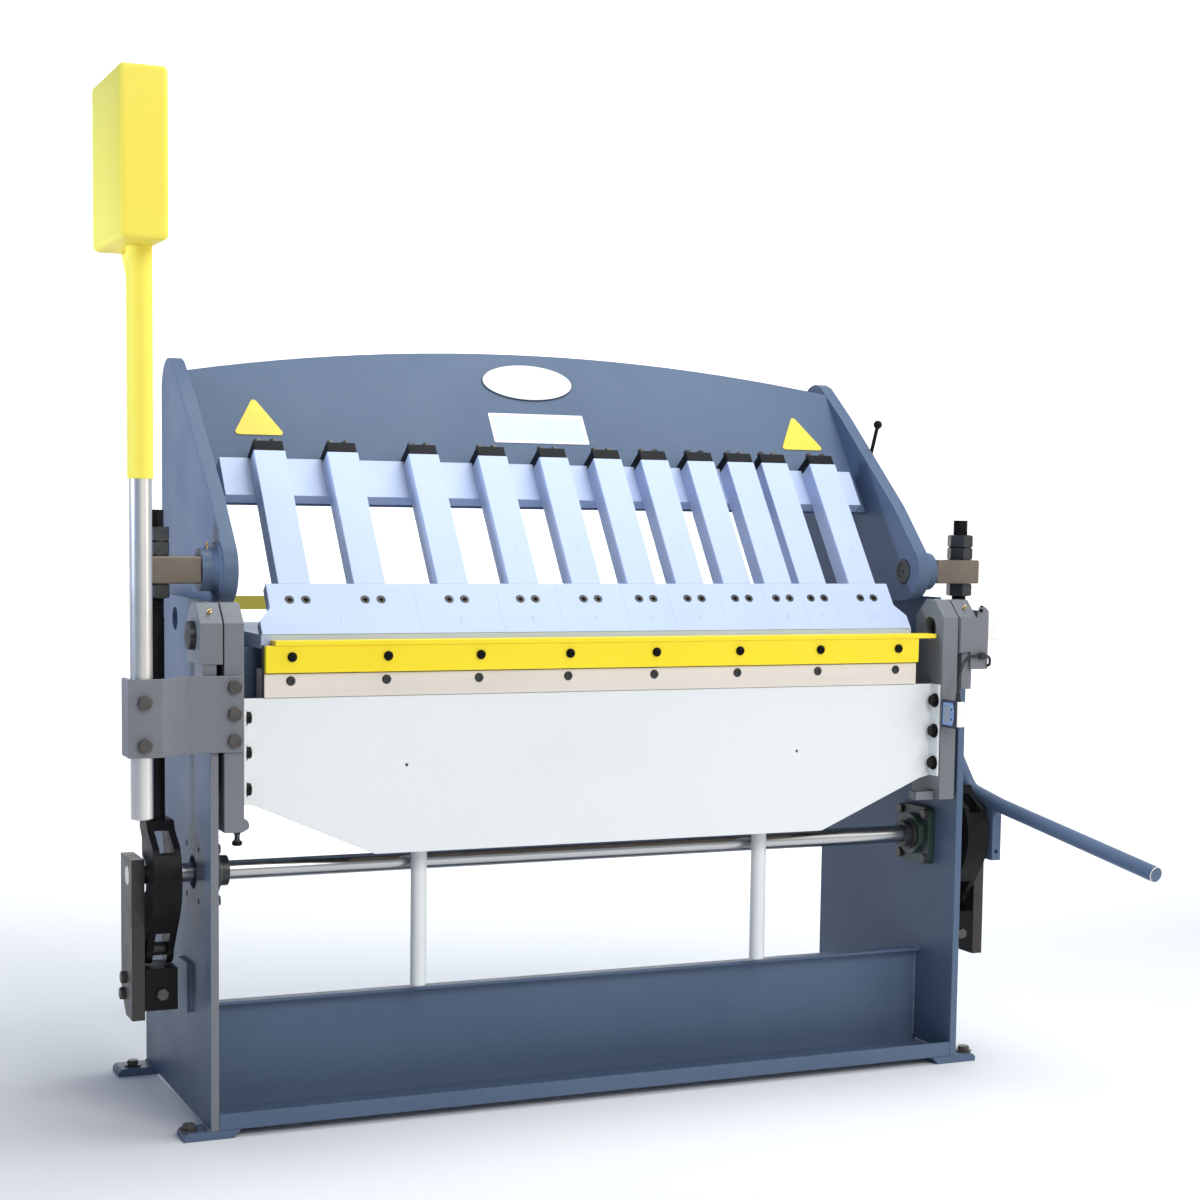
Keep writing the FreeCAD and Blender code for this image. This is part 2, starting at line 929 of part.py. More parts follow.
def finger_shoes():
    rear = tip_depth + 2 * shoe_thickness
    under = block(-fold_half, fold_half, 0, rear, tip_z - shoe_thickness, tip_z)
    shapes = []
    for left, right, centres in finger_places():
        shoe = lean_plate(rectangle(left, right, 0, shoe_length), 0, shoe_thickness)
        cuts = [under]
        for end, side in ((left, -1), (right, 1)):
            if abs(abs(end) - fold_half) < tiny:
                corner = [
                    (end, shoe_shoulder_low),
                    (end - side * shoe_shoulder, shoe_shoulder_high),
                    (end - side * shoe_shoulder, shoe_length),
                    (end, shoe_length),
                ]
                cuts.append(lean_plate(corner, 0, shoe_thickness))
        for x in centres:
            cuts += shoe_screw_holes(x)
        shapes.append(shoe.cut(cuts))
    return shapes


def shoe_screw_places(x):
    return [lean_point(x + side * screw_pitch / 2, shoe_screw_along, 0) for side in (-1, 1)]


def shoe_screw_holes(x):
    holes = []
    for place in shoe_screw_places(x):
        sunk = place + lean_back() * screw_head_height
        holes.append(cylinder(place, sunk, screw_head_radius + seat_fit))
        holes.append(cylinder(sunk, place + lean_back() * bar_depth, screw_radius + seat_fit))
    return holes


def finger_bars():
    shapes = []
    for x in bar_centres():
        left = x - bar_width / 2
        right = x + bar_width / 2
        bar = lean_plate(rectangle(left, right, shoe_length, bar_top), 0, bar_depth)
        tongue = lean_plate(rectangle(left, right, tongue_start, shoe_length), shoe_thickness, bar_depth)
        bar = bar.fuse(tongue).removeSplitter()
        cuts = shoe_screw_holes(x)
        for place in clamp_bolt_places(x):
            end = place - lean_up() * (clamp_height + clamp_bolt_length + small_gap)
            cuts.append(cylinder(place, end, clamp_bolt_radius + seat_fit))
        shapes.append(bar.cut(cuts))
    return shapes


def clamp_bolt_places(x):
    high = bar_top + clamp_height
    return [lean_point(x + side * screw_pitch / 2, high, bar_depth / 2) for side in (-1, 1)]


def finger_clamps():
    shapes = []
    for x in bar_centres():
        left = x - clamp_width / 2
        right = x + clamp_width / 2
        high = bar_top + clamp_height
        top = lean_plate(rectangle(left, right, bar_top, high), 0, bar_depth)
        hook = lean_plate(rectangle(left, right, rail_high, high), bar_depth, bar_depth + clamp_reach)
        clamp = top.fuse(hook).removeSplitter()
        holes = []
        for place in clamp_bolt_places(x):
            end = place - lean_up() * clamp_height
            holes.append(cylinder(place, end, clamp_bolt_radius + seat_fit))
        shapes.append(clamp.cut(holes))
    return shapes


def finger_screws():
    """Socket screws that hold the shoes, and hex bolts on the clamps."""
    shapes = []
    front = lean_back() * -1
    for x in bar_centres():
        for place in shoe_screw_places(x):
            base = place + lean_back() * screw_head_height
            shapes.append(round_bolt(base, front, screw_head_radius, screw_head_height,
                                     screw_radius, screw_length))
        for place in clamp_bolt_places(x):
            length = clamp_height + clamp_bolt_length
            shapes.append(hex_bolt(place, lean_up(), clamp_bolt_across, clamp_bolt_head,
                                   clamp_bolt_radius, length))
    return shapes


def nameplates():
    """Bare oval badge, bare plate and two bare triangles on the back plate."""
    centre = along_at(badge_z, rail_behind)
    middle = lean_point(0, centre, rail_behind - badge_thickness)
    side_end = middle + Vector(badge_length / 2, 0, 0)
    curve = Part.Ellipse(side_end, middle + lean_up() * (badge_height / 2), middle)
    oval = Part.Face(Part.Wire(curve.toShape())).extrude(lean_back() * badge_thickness)
    low = along_at(nameplate_low_z, rail_behind)
    top = along_at(nameplate_high_z, rail_behind)
    side = nameplate_width / 2
    face = rail_behind - nameplate_thickness
    shapes = [oval, lean_plate(rectangle(-side, side, low, top), face, rail_behind)]
    for x in (triangle_left_x, triangle_right_x):
        low = along_at(triangle_low_z, rail_behind)
        top = along_at(triangle_high_z, rail_behind)
        corners = [(x - triangle_width / 2, low), (x + triangle_width / 2, low), (x, top)]
        shapes.append(lean_plate(corners, face, rail_behind))
    return shapes


def swivel():
    """Swivel block with its trunnion, and the three nuts on the tie rod."""
    inner = hub_end + side_play
    outer = rod_line + swivel_end
    low = boss_z - swivel_height / 2
    high = boss_z + swivel_height / 2
    body = block(inner, outer, shaft_depth - swivel_half, shaft_depth + swivel_half, low, high)
    trunnion = across(cheek_inner - trunnion_proud, inner, shaft_depth, boss_z, trunnion_radius)
    centre = at(rod_line, shaft_depth, low)
    up = Vector(0, 0, 1)
    hole_radius = tie_rod_radius + rod_play
    bore = cylinder(centre, centre + up * swivel_height, hole_radius)
    shapes = [body.fuse(trunnion).removeSplitter().cut(bore)]
    nuts = (
        (low - lower_nut_height, lower_nut_height),
        (high, nut_height),
        (high + nut_height, nut_height),
    )
    for z, height in nuts:
        base = at(rod_line, shaft_depth, z)
        nut = turned(hexagon(nut_across, height), base, up)
        shapes.append(nut.cut(cylinder(base, base + up * height, hole_radius)))
    return shapes


def yoke():
    """Fork that reaches round the front of the shaft, from the tie rod down to the crank pin."""
    x0 = rod_line - yoke_slot / 2 - yoke_wall
    x1 = rod_line + yoke_slot / 2 + yoke_wall
    front = shaft_depth - yoke_bow
    gap = shaft_radius + yoke_clearance
    eye = yoke_eye_radius
    outline = [
        (shaft_depth + yoke_head_half, yoke_head_high_z),
        (shaft_depth + yoke_head_half, yoke_head_low_z),
        (shaft_depth + yoke_throat, yoke_head_low_z - yoke_low_inset),
        (shaft_depth, shaft_z + gap),
        ((shaft_depth - gap, shaft_z), (shaft_depth, shaft_z - gap)),
        (shaft_depth + eye, crank_pin_z),
        ((shaft_depth, crank_pin_z - eye), (shaft_depth - eye, crank_pin_z)),
        (front + yoke_low_inset, shaft_z - yoke_low_bow),
        ((front, shaft_z), (front + yoke_high_inset, shaft_z + yoke_high_bow)),
        (shaft_depth - yoke_head_half - yoke_shoulder, yoke_head_low_z),
        (shaft_depth - yoke_head_half, yoke_head_high_z),
    ]
    body = side_profile(x0, x1, outline)
    slot0 = rod_line - yoke_slot / 2
    slot1 = rod_line + yoke_slot / 2
    slot = side_profile(slot0, slot1, [
        (front + yoke_web + yoke_low_inset, shaft_z - yoke_low_bow),
        ((front + yoke_web, shaft_z), (front + yoke_web + yoke_high_inset, yoke_window_z)),
        (front, yoke_window_z),
        (front, yoke_head_low_z),
        (shaft_depth + 2 * yoke_head_half, yoke_head_low_z),
        (shaft_depth + 2 * yoke_head_half, crank_pin_z - 2 * eye),
        (shaft_depth - 2 * eye, crank_pin_z - 2 * eye),
        (shaft_depth - 2 * eye, shaft_z - yoke_low_bow - yoke_low_inset),
    ])
    pin = across(x0, x1, shaft_depth, crank_pin_z, crank_pin_radius + running_fit)
    return body.cut([slot, pin, tie_rod_bar(tie_rod_radius + seat_fit)])


def tie_rod_bar(radius):
    low = at(rod_line, shaft_depth, yoke_head_low_z)
    return cylinder(low, at(rod_line, shaft_depth, tie_rod_high_z), radius)


def crank_arm():
    front = shaft_depth - crank_front
    rear = shaft_depth + crank_rear
    arm = side_profile(crank_inner, crank_outer, [
        (front, crank_low_z),
        (rear - crank_bevel, crank_low_z),
        (rear, crank_low_z + crank_bevel),
        (rear, crank_high_z),
        (front, crank_high_z),
    ])
    holes = [
        across(crank_inner, crank_outer, shaft_depth, shaft_z, shaft_radius + seat_fit),
        across(crank_inner, crank_outer, shaft_depth, crank_pin_z, crank_pin_radius + seat_fit),
    ]
    for offset, z in crank_bolt_places:
        hole_radius = crank_bolt_radius + seat_fit
        holes.append(across(crank_inner, crank_outer, shaft_depth + offset, z, hole_radius))
    return arm.cut(holes)


def crank_block():
    front = shaft_depth - crank_front
    rear = shaft_depth + crank_block_rear
    inner = rod_line - crank_block_inner
    body = block(inner, crank_inner, front, rear, crank_block_low_z, crank_block_high_z)
    holes = []
    for offset, z in crank_bolt_places:
        start = crank_outer - crank_bolt_length
        hole_radius = crank_bolt_radius + seat_fit
        holes.append(across(start, crank_inner, shaft_depth + offset, z, hole_radius))
    holes.append(through(rod_line, front, shaft_depth, stop_bolt_z, crank_bolt_radius + seat_fit))
    return body.cut(holes)


def crank_bolts():
    shapes = []
    front = shaft_depth - crank_front
    for offset, z in crank_bolt_places:
        base = at(crank_outer, shaft_depth + offset, z)
        shapes += both_sides(hex_bolt(base, Vector(1, 0, 0), crank_bolt_across, crank_bolt_head,
                                      crank_bolt_radius, crank_bolt_length))
    base = at(rod_line, front, stop_bolt_z)
    stop = hex_bolt(base, Vector(0, -1, 0), crank_bolt_across, crank_bolt_head, crank_bolt_radius,
                    crank_front)
    return shapes + both_sides(stop)


def crank_pin():
    inner = rod_line - yoke_slot / 2 - yoke_wall
    return across(inner, crank_outer, shaft_depth, crank_pin_z, crank_pin_radius)


def shaft_collar():
    outer = insert_face() - side_play
    ring = across(outer - collar_width, outer, shaft_depth, shaft_z, collar_radius)
    return ring.cut(across(outer - collar_width, outer, shaft_depth, shaft_z, shaft_radius + seat_fit))


def bent_tube(points, radius, bends):
    """Straight runs joined by tangent arcs; bends holds one radius for each inner point."""
    edges = []
    here = points[0]
    for index in range(1, len(points) - 1):
        corner = points[index]
        back = (points[index - 1] - corner).normalize()
        ahead = (points[index + 1] - corner).normalize()
        half = back.getAngle(ahead) / 2
        reach = bends[index - 1] / math.tan(half)
        start = corner + back * reach
        end = corner + ahead * reach
        middle = (back + ahead).normalize()
        middle = corner + middle * (bends[index - 1] / math.sin(half) - bends[index - 1])
        edges.append(Part.LineSegment(here, start).toShape())
        edges.append(Part.Arc(start, middle, end).toShape())
        here = end
    edges.append(Part.LineSegment(here, points[-1]).toShape())
    path = Part.Wire(edges)
    circle = Part.Wire(Part.makeCircle(radius, points[0], points[1] - points[0]))
    return path.makePipeShell([circle], True, True)


def clamp_handle():
    """Bent bar, the plate that joins it to the crank arm, and the lug below it."""
    middle = (crank_inner + crank_outer) / 2
    points = [
        at(handle_tip_x, -handle_tip_ahead, handle_tip_z),
        at(middle, handle_bend_depth, handle_bend_z),
        at(middle, handle_knee_depth, handle_knee_z),
        at(middle, handle_end_depth, handle_end_z),
    ]
    bar = bent_tube(points, handle_radius, handle_bends)
    web = side_profile(middle - handle_web / 2, middle + handle_web / 2, [
        (shaft_depth - crank_front - handle_web_reach, crank_high_z + handle_radius / 2),
        (shaft_depth - crank_front, crank_high_z),
        (shaft_depth + crank_rear, crank_high_z),
        (handle_end_depth, handle_end_z),
        (handle_knee_depth, handle_knee_z),
        (handle_bend_depth, handle_bend_z),
    ])
    lug_x = middle - handle_lug_width / 2
    lug = block(lug_x, lug_x + handle_lug_width, handle_lug_depth, handle_lug_depth + handle_lug_reach,
                handle_lug_low_z, handle_bend_z)
    hole = through(middle, handle_lug_depth, handle_lug_depth + handle_lug_reach,
                   handle_lug_hole_z, handle_lug_hole_radius)
    return bar.fuse([web, lug]).removeSplitter().cut(hole)


def arm(side):
    """Swinging arm; side is 1 on the right and -1 on the left."""
    body = hinged_block(arm_inner, arm_outer, arm_low_z)
    holes = [across(arm_inner, arm_outer, hinge_depth, bed_top_z, arm_pin_radius + seat_fit)]
    for z in flange_bolt_z:
        end = arm_inner + flange_bolt_length - apron_sheet
        holes.append(across(arm_inner, end, flange_bolt_depth, z, flange_bolt_radius + seat_fit))
    if side < 0:
        for z in bracket_bolt_z:
            end = block_face + bracket_bolt_grip - bracket_sheet
            hole_radius = bracket_bolt_radius + seat_fit
            holes.append(through(bracket_bolt_x, block_face, end, z, hole_radius))
        holes.append(stop_screw_hole())
        return mirrored(body.cut(holes))
    holes.append(stop_lug())
    return body.cut(holes)


def stop_lug():
    outer = arm_inner + lug_lap
    return block(lug_inner_x, outer, lug_depth, lug_depth + lug_width, lug_low_z, lug_low_z + lug_height)


def stop_screw_hole():
    low = at(arm_inner + stop_screw_inset, stop_screw_depth, arm_low_z)
    return cylinder(low, low + Vector(0, 0, stop_knob_height), stop_screw_radius + seat_fit)


def stop_screw():
    low = at(arm_inner + stop_screw_inset, stop_screw_depth, stop_screw_low_z)
    knob = Part.makeCylinder(stop_knob_radius, stop_knob_height, low)
    length = arm_low_z + stop_knob_height - stop_screw_low_z
    screw = Part.makeCylinder(stop_screw_radius, length, low)
    return knob.fuse(screw).removeSplitter()


def apron_plate():
    half = arm_inner
    face = front_profile(leaf_face, leaf_face + apron_sheet, [
        (-half, leaf_low_z),
        (-half, flange_low_z),
        (-apron_corner_half, apron_corner_z),
        (-apron_low_half, apron_low_z),
        (apron_low_half, apron_low_z),
        (apron_corner_half, apron_corner_z),
        (half, flange_low_z),
        (half, leaf_low_z),
    ])
    flanges = []
    for side in (-1, 1):
        inner = side * (half - apron_sheet)
        outer = side * half
        flange = block(inner, outer, leaf_face - flange_reach, leaf_face, flange_low_z, leaf_low_z)
        for z in flange_bolt_z:
            hole = across(inner, outer, flange_bolt_depth, z, flange_bolt_radius + seat_fit)
            flange = flange.cut(hole)
        flanges.append(flange)
    sheet_metal = face.fuse(flanges).removeSplitter()
    rear = leaf_face + apron_sheet
    holes = []
    for x in (-apron_hole_x, apron_hole_x):
        holes.append(through(x, leaf_face, rear, apron_hole_z, apron_hole_radius))
    return sheet_metal.cut(holes)


def apron_beam():
    """Thick leaf along the fold and the angle that stiffens the sheet, cut to the sheet's corners."""
    half = fold_half + bending_bar_over
    rear = leaf_face + leaf_thickness
    leaf = block(-half, half, leaf_face, rear, leaf_low_z, leaf_top_z)
    front = leaf_face + apron_sheet
    upright = front_profile(front, front + angle_thickness, [
        (-angle_half, leaf_low_z),
        (-angle_half, angle_side_z),
        (-angle_low_half, angle_z),
        (angle_low_half, angle_z),
        (angle_half, angle_side_z),
        (angle_half, leaf_low_z),
    ])
    low_half = angle_low_half
    foot = block(-low_half, low_half, front, front + angle_reach, angle_z, angle_z + angle_thickness)
    beam = leaf.fuse([upright, foot]).removeSplitter()
    return beam.cut(row_bolt_holes())


def row_places():
    first = -row_pitch * (row_count - 1) / 2
    return [first + row_pitch * index for index in range(row_count)]


def row_bolt_holes():
    holes = []
    for x in row_places():
        for z in (upper_row_z, lower_row_z):
            holes.append(through(x, bending_bar_front, row_bolt_end, z, row_bolt_radius + seat_fit))
    return holes


def bending_bar():
    """Yellow bar with the blade on top that folds the sheet."""
    half = fold_half + bending_bar_over
    bar = block(-half, half, bending_bar_front, leaf_face, bending_bar_low_z, leaf_top_z)
    middle = (bending_bar_low_z + leaf_top_z) / 2
    ends = []
    for edge in bar.Edges:
        centre = edge.CenterOfMass
        if along_y(edge) and (centre.z - middle) * centre.x < 0:
            ends.append(edge)
    bar = bar.makeFillet(bending_bar_round, ends)
    rear = hinge_depth - blade_gap
    blade = block(-blade_left, blade_right, blade_front, rear, leaf_top_z, leaf_top_z + blade_height)
    tip = [edge for edge in blade.Edges if along_y(edge) and edge.CenterOfMass.x > 0]
    blade = blade.makeFillet(bending_bar_round, tip)
    return bar.fuse(blade).removeSplitter().cut(row_bolt_holes())


def steel_bars():
    """Strip below the yellow bar, and the bar on the leaf's back."""
    half = fold_half + bending_bar_over
    strip = block(-half, half, strip_front, leaf_face, strip_low_z, strip_high_z)
    rear = leaf_face + leaf_thickness
    bar = block(-half, half, rear, rear_bar_depth, rear_bar_low_z, rear_bar_high_z)
    return [strip.cut(row_bolt_holes()), bar]


def apron_bolts():
    shapes = []
    forward = Vector(0, -1, 0)
    for x in row_places():
        face = bending_bar_front - row_washer
        bolt = round_bolt(at(x, face, upper_row_z), forward, upper_head_radius, upper_head_height,
                          row_bolt_radius, row_bolt_end - face)
        washer = through(x, face, bending_bar_front, upper_row_z, row_head_radius)
        shapes.append(bolt.fuse(washer).removeSplitter())
        shapes.append(round_bolt(at(x, strip_front, lower_row_z), forward, row_head_radius,
                                 lower_head_height, row_bolt_radius, row_bolt_end - strip_front))
    return shapes


def arm_bolts():
    """Bolts that hold the apron's flanges and the counterweight's bracket."""
    shapes = []
    for z in flange_bolt_z:
        base = at(arm_inner - apron_sheet - flange_washer, flange_bolt_depth, z)
        bolt = hex_bolt(base, Vector(-1, 0, 0), flange_bolt_across, flange_bolt_head,
                        flange_bolt_radius, flange_bolt_length + flange_washer)
        washer = across(base.x, base.x + flange_washer, flange_bolt_depth, z, flange_washer_radius)
        shapes += both_sides(bolt.fuse(washer).removeSplitter())
    forward = Vector(0, -1, 0)
    face = block_face - bracket_sheet
    for z in bracket_bolt_z:
        shapes.append(hex_bolt(at(-bracket_bolt_x, face, z), forward, bracket_bolt_across,
                               bracket_bolt_head, bracket_bolt_radius, bracket_bolt_grip))
    front = rod_depth - rod_radius - bracket_sheet
    grip = 2 * rod_radius + bracket_sheet
    for z in rod_bolt_z:
        shapes.append(nutted_bolt(at(-rod_x, front, z), forward, bracket_bolt_across,
                                  bracket_bolt_head, bracket_bolt_radius, grip))
    return shapes


def apron_post():
    post = Part.makeCylinder(post_radius, angle_z - post_low_z, at(post_x, post_depth, post_low_z))
    lower = min(post.Edges, key=lambda edge: edge.CenterOfMass.z)
    return post.makeFillet(post_round, [lower])


def counterweight_bracket():
    turn = bracket_sheet * math.tan(math.pi / 8)
    face = block_face - bracket_sheet
    outer_front = face - bracket_slant
    side = rod_x + rod_radius + bracket_sheet
    slant_end = bracket_bend_x + bracket_slant
    plate = top_profile(bracket_low_z, bracket_high_z, [
        (-bracket_inner_x, face),
        (-bracket_bend_x, face),
        (-slant_end, outer_front),
        (-side, outer_front),
        (-side, bracket_flange_end),
        (-side + bracket_sheet, bracket_flange_end),
        (-side + bracket_sheet, outer_front + bracket_sheet),
        (-slant_end - turn, outer_front + bracket_sheet),
        (-bracket_bend_x - turn, block_face),
        (-bracket_inner_x, block_face),
    ])
    holes = []
    for z in bracket_bolt_z:
        holes.append(through(-bracket_bolt_x, face, block_face, z, bracket_bolt_radius + seat_fit))
    for z in rod_bolt_z:
        rear = outer_front + bracket_sheet
        holes.append(through(-rod_x, outer_front, rear, z, bracket_bolt_radius + seat_fit))
    return plate.cut(holes)


def counterweight_rod():
    bar = cylinder(at(-rod_x, rod_depth, rod_low_z), at(-rod_x, rod_depth, weight_low_z), rod_radius)
    bar = bar.makeChamfer(rod_chamfer, [min(bar.Edges, key=lambda edge: edge.CenterOfMass.z)])
    holes = []
    for z in rod_bolt_z:
        front = rod_depth - rod_radius
        holes.append(through(-rod_x, front, front + 2 * rod_radius, z, bracket_bolt_radius + seat_fit))
    return bar.cut(holes)


def counterweight_sleeve():
    low = at(-rod_x, rod_depth, sleeve_low_z)
    high = at(-rod_x, rod_depth, weight_low_z)
    return cylinder(low, high, rod_radius + sleeve_wall).cut(cylinder(low, high, rod_radius + seat_fit))


def counterweight():
    centre = -rod_x - weight_shift
    half = weight_width / 2
    body = block(centre - half, centre + half, weight_front, weight_rear, weight_low_z,
                 weight_low_z + weight_height)
    body = body.makeFillet(weight_round, body.Edges)
    start = rod_depth + rod_radius + sleeve_wall
    fin = side_profile(-rod_x - fin_thickness / 2, -rod_x + fin_thickness / 2, [
        (start, weight_low_z + weight_round),
        (start, fin_low_z),
        (start + fin_low_width, fin_low_z),
        (fin_step_depth, fin_step_z),
        (weight_rear - weight_round, weight_low_z),
        (weight_rear - weight_round, weight_low_z + weight_round),
    ])
    return body.fuse(fin).removeSplitter()


def display_front():
    return block_face - display_reach


def display_housing():
    inner = arm_inner + bezel_thickness
    low = display_low_z + housing_inset
    high = display_low_z + display_height - housing_inset
    box = block(inner, inner + housing_width, display_front() + housing_inset, block_face, low, high)
    cuts = []
    for z in button_heights():
        end = inner + button_travel
        cuts.append(across(inner, end, block_face - button_reach, z, button_radius + button_slack))
    return box.cut(cuts)


def button_heights():
    middle = display_low_z + display_height / 2
    return [middle + button_pitch, middle, middle - button_pitch]


def display_panel():
    """Dark bezel that faces the operator, and the cable's strain relief on top of the housing."""
    outer = arm_inner + bezel_thickness
    high = display_low_z + display_height
    bezel = block(arm_inner, outer, display_front(), block_face, display_low_z, high)
    cuts = []
    for z in button_heights():
        cuts.append(across(arm_inner, outer, block_face - button_reach, z, button_radius + button_slack))
    x, depth, z = cable_points[0]
    base = high - housing_inset
    relief = Part.makeCone(relief_radius, cable_radius + relief_wall, z - base, at(x, depth, base))
    return [bezel.cut(cuts), relief]


def display_button(z):
    start = arm_inner - button_proud
    return across(start, start + button_length, block_face - button_reach, z, button_radius)


def display_cable():
    points = [at(*point) for point in cable_points]
    bends = []
    for before, corner, after in zip(points, points[1:], points[2:]):
        shorter = min((corner - before).Length, (after - corner).Length)
        turn = (corner - before).getAngle(after - corner)
        bends.append(cable_bend_share * shorter / math.tan(turn / 2))
    return bent_tube(points, cable_radius, bends)


def lock_lever():
    """Short ball lever on its hub, outside the right cheek."""
    hub = across(cheek_outer + side_play, cheek_outer + lever_hub_length, lever_depth, lever_z,
                 lever_hub_radius)
    middle = cheek_outer + lever_hub_length / 2
    ball_centre = at(cheek_outer + lever_ball_out, lever_ball_depth, lever_ball_z)
    stick = cylinder(at(middle, lever_depth, lever_z), ball_centre, lever_stick_radius)
    ball = Part.makeSphere(lever_ball_radius, ball_centre)
    body = hub.fuse([stick, ball]).removeSplitter()
    return body.cut(across(cheek_outer, cheek_outer + lever_hub_length, lever_depth, lever_z,
                           lever_pin_radius + running_fit))


def lever_pin():
    end = cheek_outer + lever_hub_length + side_play
    pin = across(cheek_outer, end, lever_depth, lever_z, lever_pin_radius)
    head = across(end, end + lever_pin_head, lever_depth, lever_z, lever_pin_head_radius)
    return pin.fuse(head).removeSplitter()


def build_frame():
    plate = side_plate()
    save("side_plate_left", [mirrored(plate)])
    save("side_plate_right", [plate])
    save("feet", feet())
    save("foot_bolts", foot_bolts())
    save("base_member", [base_member()])
    save("bed_plate", [bed_plate()])
    save("bed_webs", bed_webs())
    save("rear_stop_bar", [stop_bar()])
    save("hinge_blocks", both_sides(hinge_block()))
    save("block_nipples", both_sides(nipple(*block_nipple_place())))
    save("bearing_housings", both_sides(bearing_housing()))
    save("bearing_inserts", both_sides(bearing_insert()))
    save("bearing_bolts", bearing_bolts())
    save("beam_pivot_pins", both_sides(pivot_pin()))
    save("sensor_bracket", [sensor_bracket()])
    save("encoder_box", [encoder_box()])
    save("sensor_fittings", sensor_fittings())


def build_beam():
    side = cheek()
    save("cheek_left", [mirrored(side)])
    save("cheek_right", [side])
    save("back_plate", [back_plate()])
    save("finger_rail", [finger_rail()])
    save("finger_bars", finger_bars())
    save("finger_shoes", finger_shoes())
    save("finger_clamps", finger_clamps())
    save("finger_screws", finger_screws() + [lever_pin()])
    save("nameplates", nameplates())
    save("hub_nipples", both_sides(nipple(*hub_nipple_place())))
    save("lock_lever", [lock_lever()])


def build_clamping():
    save("cross_shaft", [across(-crank_outer, crank_outer, shaft_depth, shaft_z, shaft_radius)])
    save("shaft_collars", both_sides(shaft_collar()))
    save("crank_arms", both_sides(crank_arm()))
    save("crank_blocks", both_sides(crank_block()))
    save("crank_bolts", crank_bolts())
    save("crank_pins", both_sides(crank_pin()))
    save("clamp_handle", [clamp_handle()])
    fork = yoke()
    rod = tie_rod_bar(tie_rod_radius)
    save("tie_rod_left", [mirrored(fork), mirrored(rod)])
    save("tie_rod_right", [fork, rod])
    swivel_right = swivel()
    save("swivel_left", [mirrored(shape) for shape in swivel_right])
    save("swivel_right", swivel_right)


def build_apron():
    save("arm_left", [arm(-1)])
    save("arm_right", [arm(1)])
    save("hinge_pins", hinge_pins())
    save("apron_plate", [apron_plate()])
    save("apron_beam", [apron_beam()])
    save("bending_bar", [bending_bar()])
    save("steel_bars", steel_bars())
    save("apron_bolts", apron_bolts())
    save("arm_bolts", arm_bolts())
    save("apron_posts", both_sides(apron_post()))
    save("arm_stops", [mirrored(stop_screw()), stop_lug()])
    save("counterweight_bracket", [counterweight_bracket()])
    save("counterweight_rod", [counterweight_rod()])
    save("counterweight_sleeve", [counterweight_sleeve()])
    save("counterweight", [counterweight()])
    save("display_housing", [display_housing()])
    save("display_panel", display_panel())
    save("display_cable", [display_cable()])
    for index, z in enumerate(button_heights()):
        save("display_button_" + str(index + 1), [display_button(z)])


os.makedirs("parts", exist_ok=True)
build_frame()
build_beam()
build_clamping()
build_apron()
print("nodes", len([name for name in os.listdir("parts") if name.endswith(".step")]))
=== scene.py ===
import json
import math

import bmesh
import bpy
from mathutils import Matrix, Vector


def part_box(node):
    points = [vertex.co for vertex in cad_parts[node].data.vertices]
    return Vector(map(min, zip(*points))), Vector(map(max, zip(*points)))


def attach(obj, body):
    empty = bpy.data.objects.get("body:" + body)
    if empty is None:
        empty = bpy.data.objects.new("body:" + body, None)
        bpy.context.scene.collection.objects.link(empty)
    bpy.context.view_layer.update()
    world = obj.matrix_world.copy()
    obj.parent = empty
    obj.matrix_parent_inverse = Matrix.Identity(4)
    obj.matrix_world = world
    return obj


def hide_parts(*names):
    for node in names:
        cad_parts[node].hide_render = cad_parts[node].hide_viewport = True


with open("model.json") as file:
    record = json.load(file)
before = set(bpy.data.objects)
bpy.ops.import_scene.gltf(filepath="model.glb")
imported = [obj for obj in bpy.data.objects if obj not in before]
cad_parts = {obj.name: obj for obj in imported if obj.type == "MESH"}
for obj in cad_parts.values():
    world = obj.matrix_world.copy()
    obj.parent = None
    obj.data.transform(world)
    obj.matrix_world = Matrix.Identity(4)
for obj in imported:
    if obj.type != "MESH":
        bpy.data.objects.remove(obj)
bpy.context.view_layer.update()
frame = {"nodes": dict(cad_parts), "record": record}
nodes = frame["nodes"]
print("frame loaded:", len(nodes), "nodes")


# Shared tools: objects and shader or geometry nodes

def newObject(name, data):
    holder = bpy.data.objects.new(name, data)
    bpy.context.scene.collection.objects.link(holder)
    return holder


def feed(tree, socket, value):
    # a socket takes a plain value, another node's output, or several of them
    if isinstance(value, bpy.types.NodeSocket):
        tree.links.new(value, socket)
    elif isinstance(value, list):
        for item in value:
            tree.links.new(item, socket)
    else:
        socket.default_value = value


def placeNode(tree, kind, inputs=None, **settings):
    node = tree.nodes.new(kind)
    for key, value in settings.items():
        setattr(node, key, value)
    for key, value in (inputs or {}).items():
        feed(tree, node.inputs[key], value)
    return node


def blended(tree, amount, first, second):
    # each tone may be a plain colour or another node's output
    node = placeNode(tree, "ShaderNodeMix", {0: amount}, data_type="RGBA")
    for socket, value in ((node.inputs[6], first), (node.inputs[7], second)):
        feed(tree, socket, (*value, 1) if isinstance(value, tuple) else value)
    return node.outputs[2]


def newFinish(name):
    material = bpy.data.materials.new(name)
    material.use_nodes = True
    return material, material.node_tree, material.node_tree.nodes["Principled BSDF"]


# Camera, light and floor

camera = {
    "place": (-1.631, -3.7215, 1.090),
    "yaw": 23.69,
    "pitch": -4.93,
    "roll": 0.75,
    "lens": 64.69,
    "sensor": 36,
    "shiftUp": 0.0871,
    "farClip": 60,
}


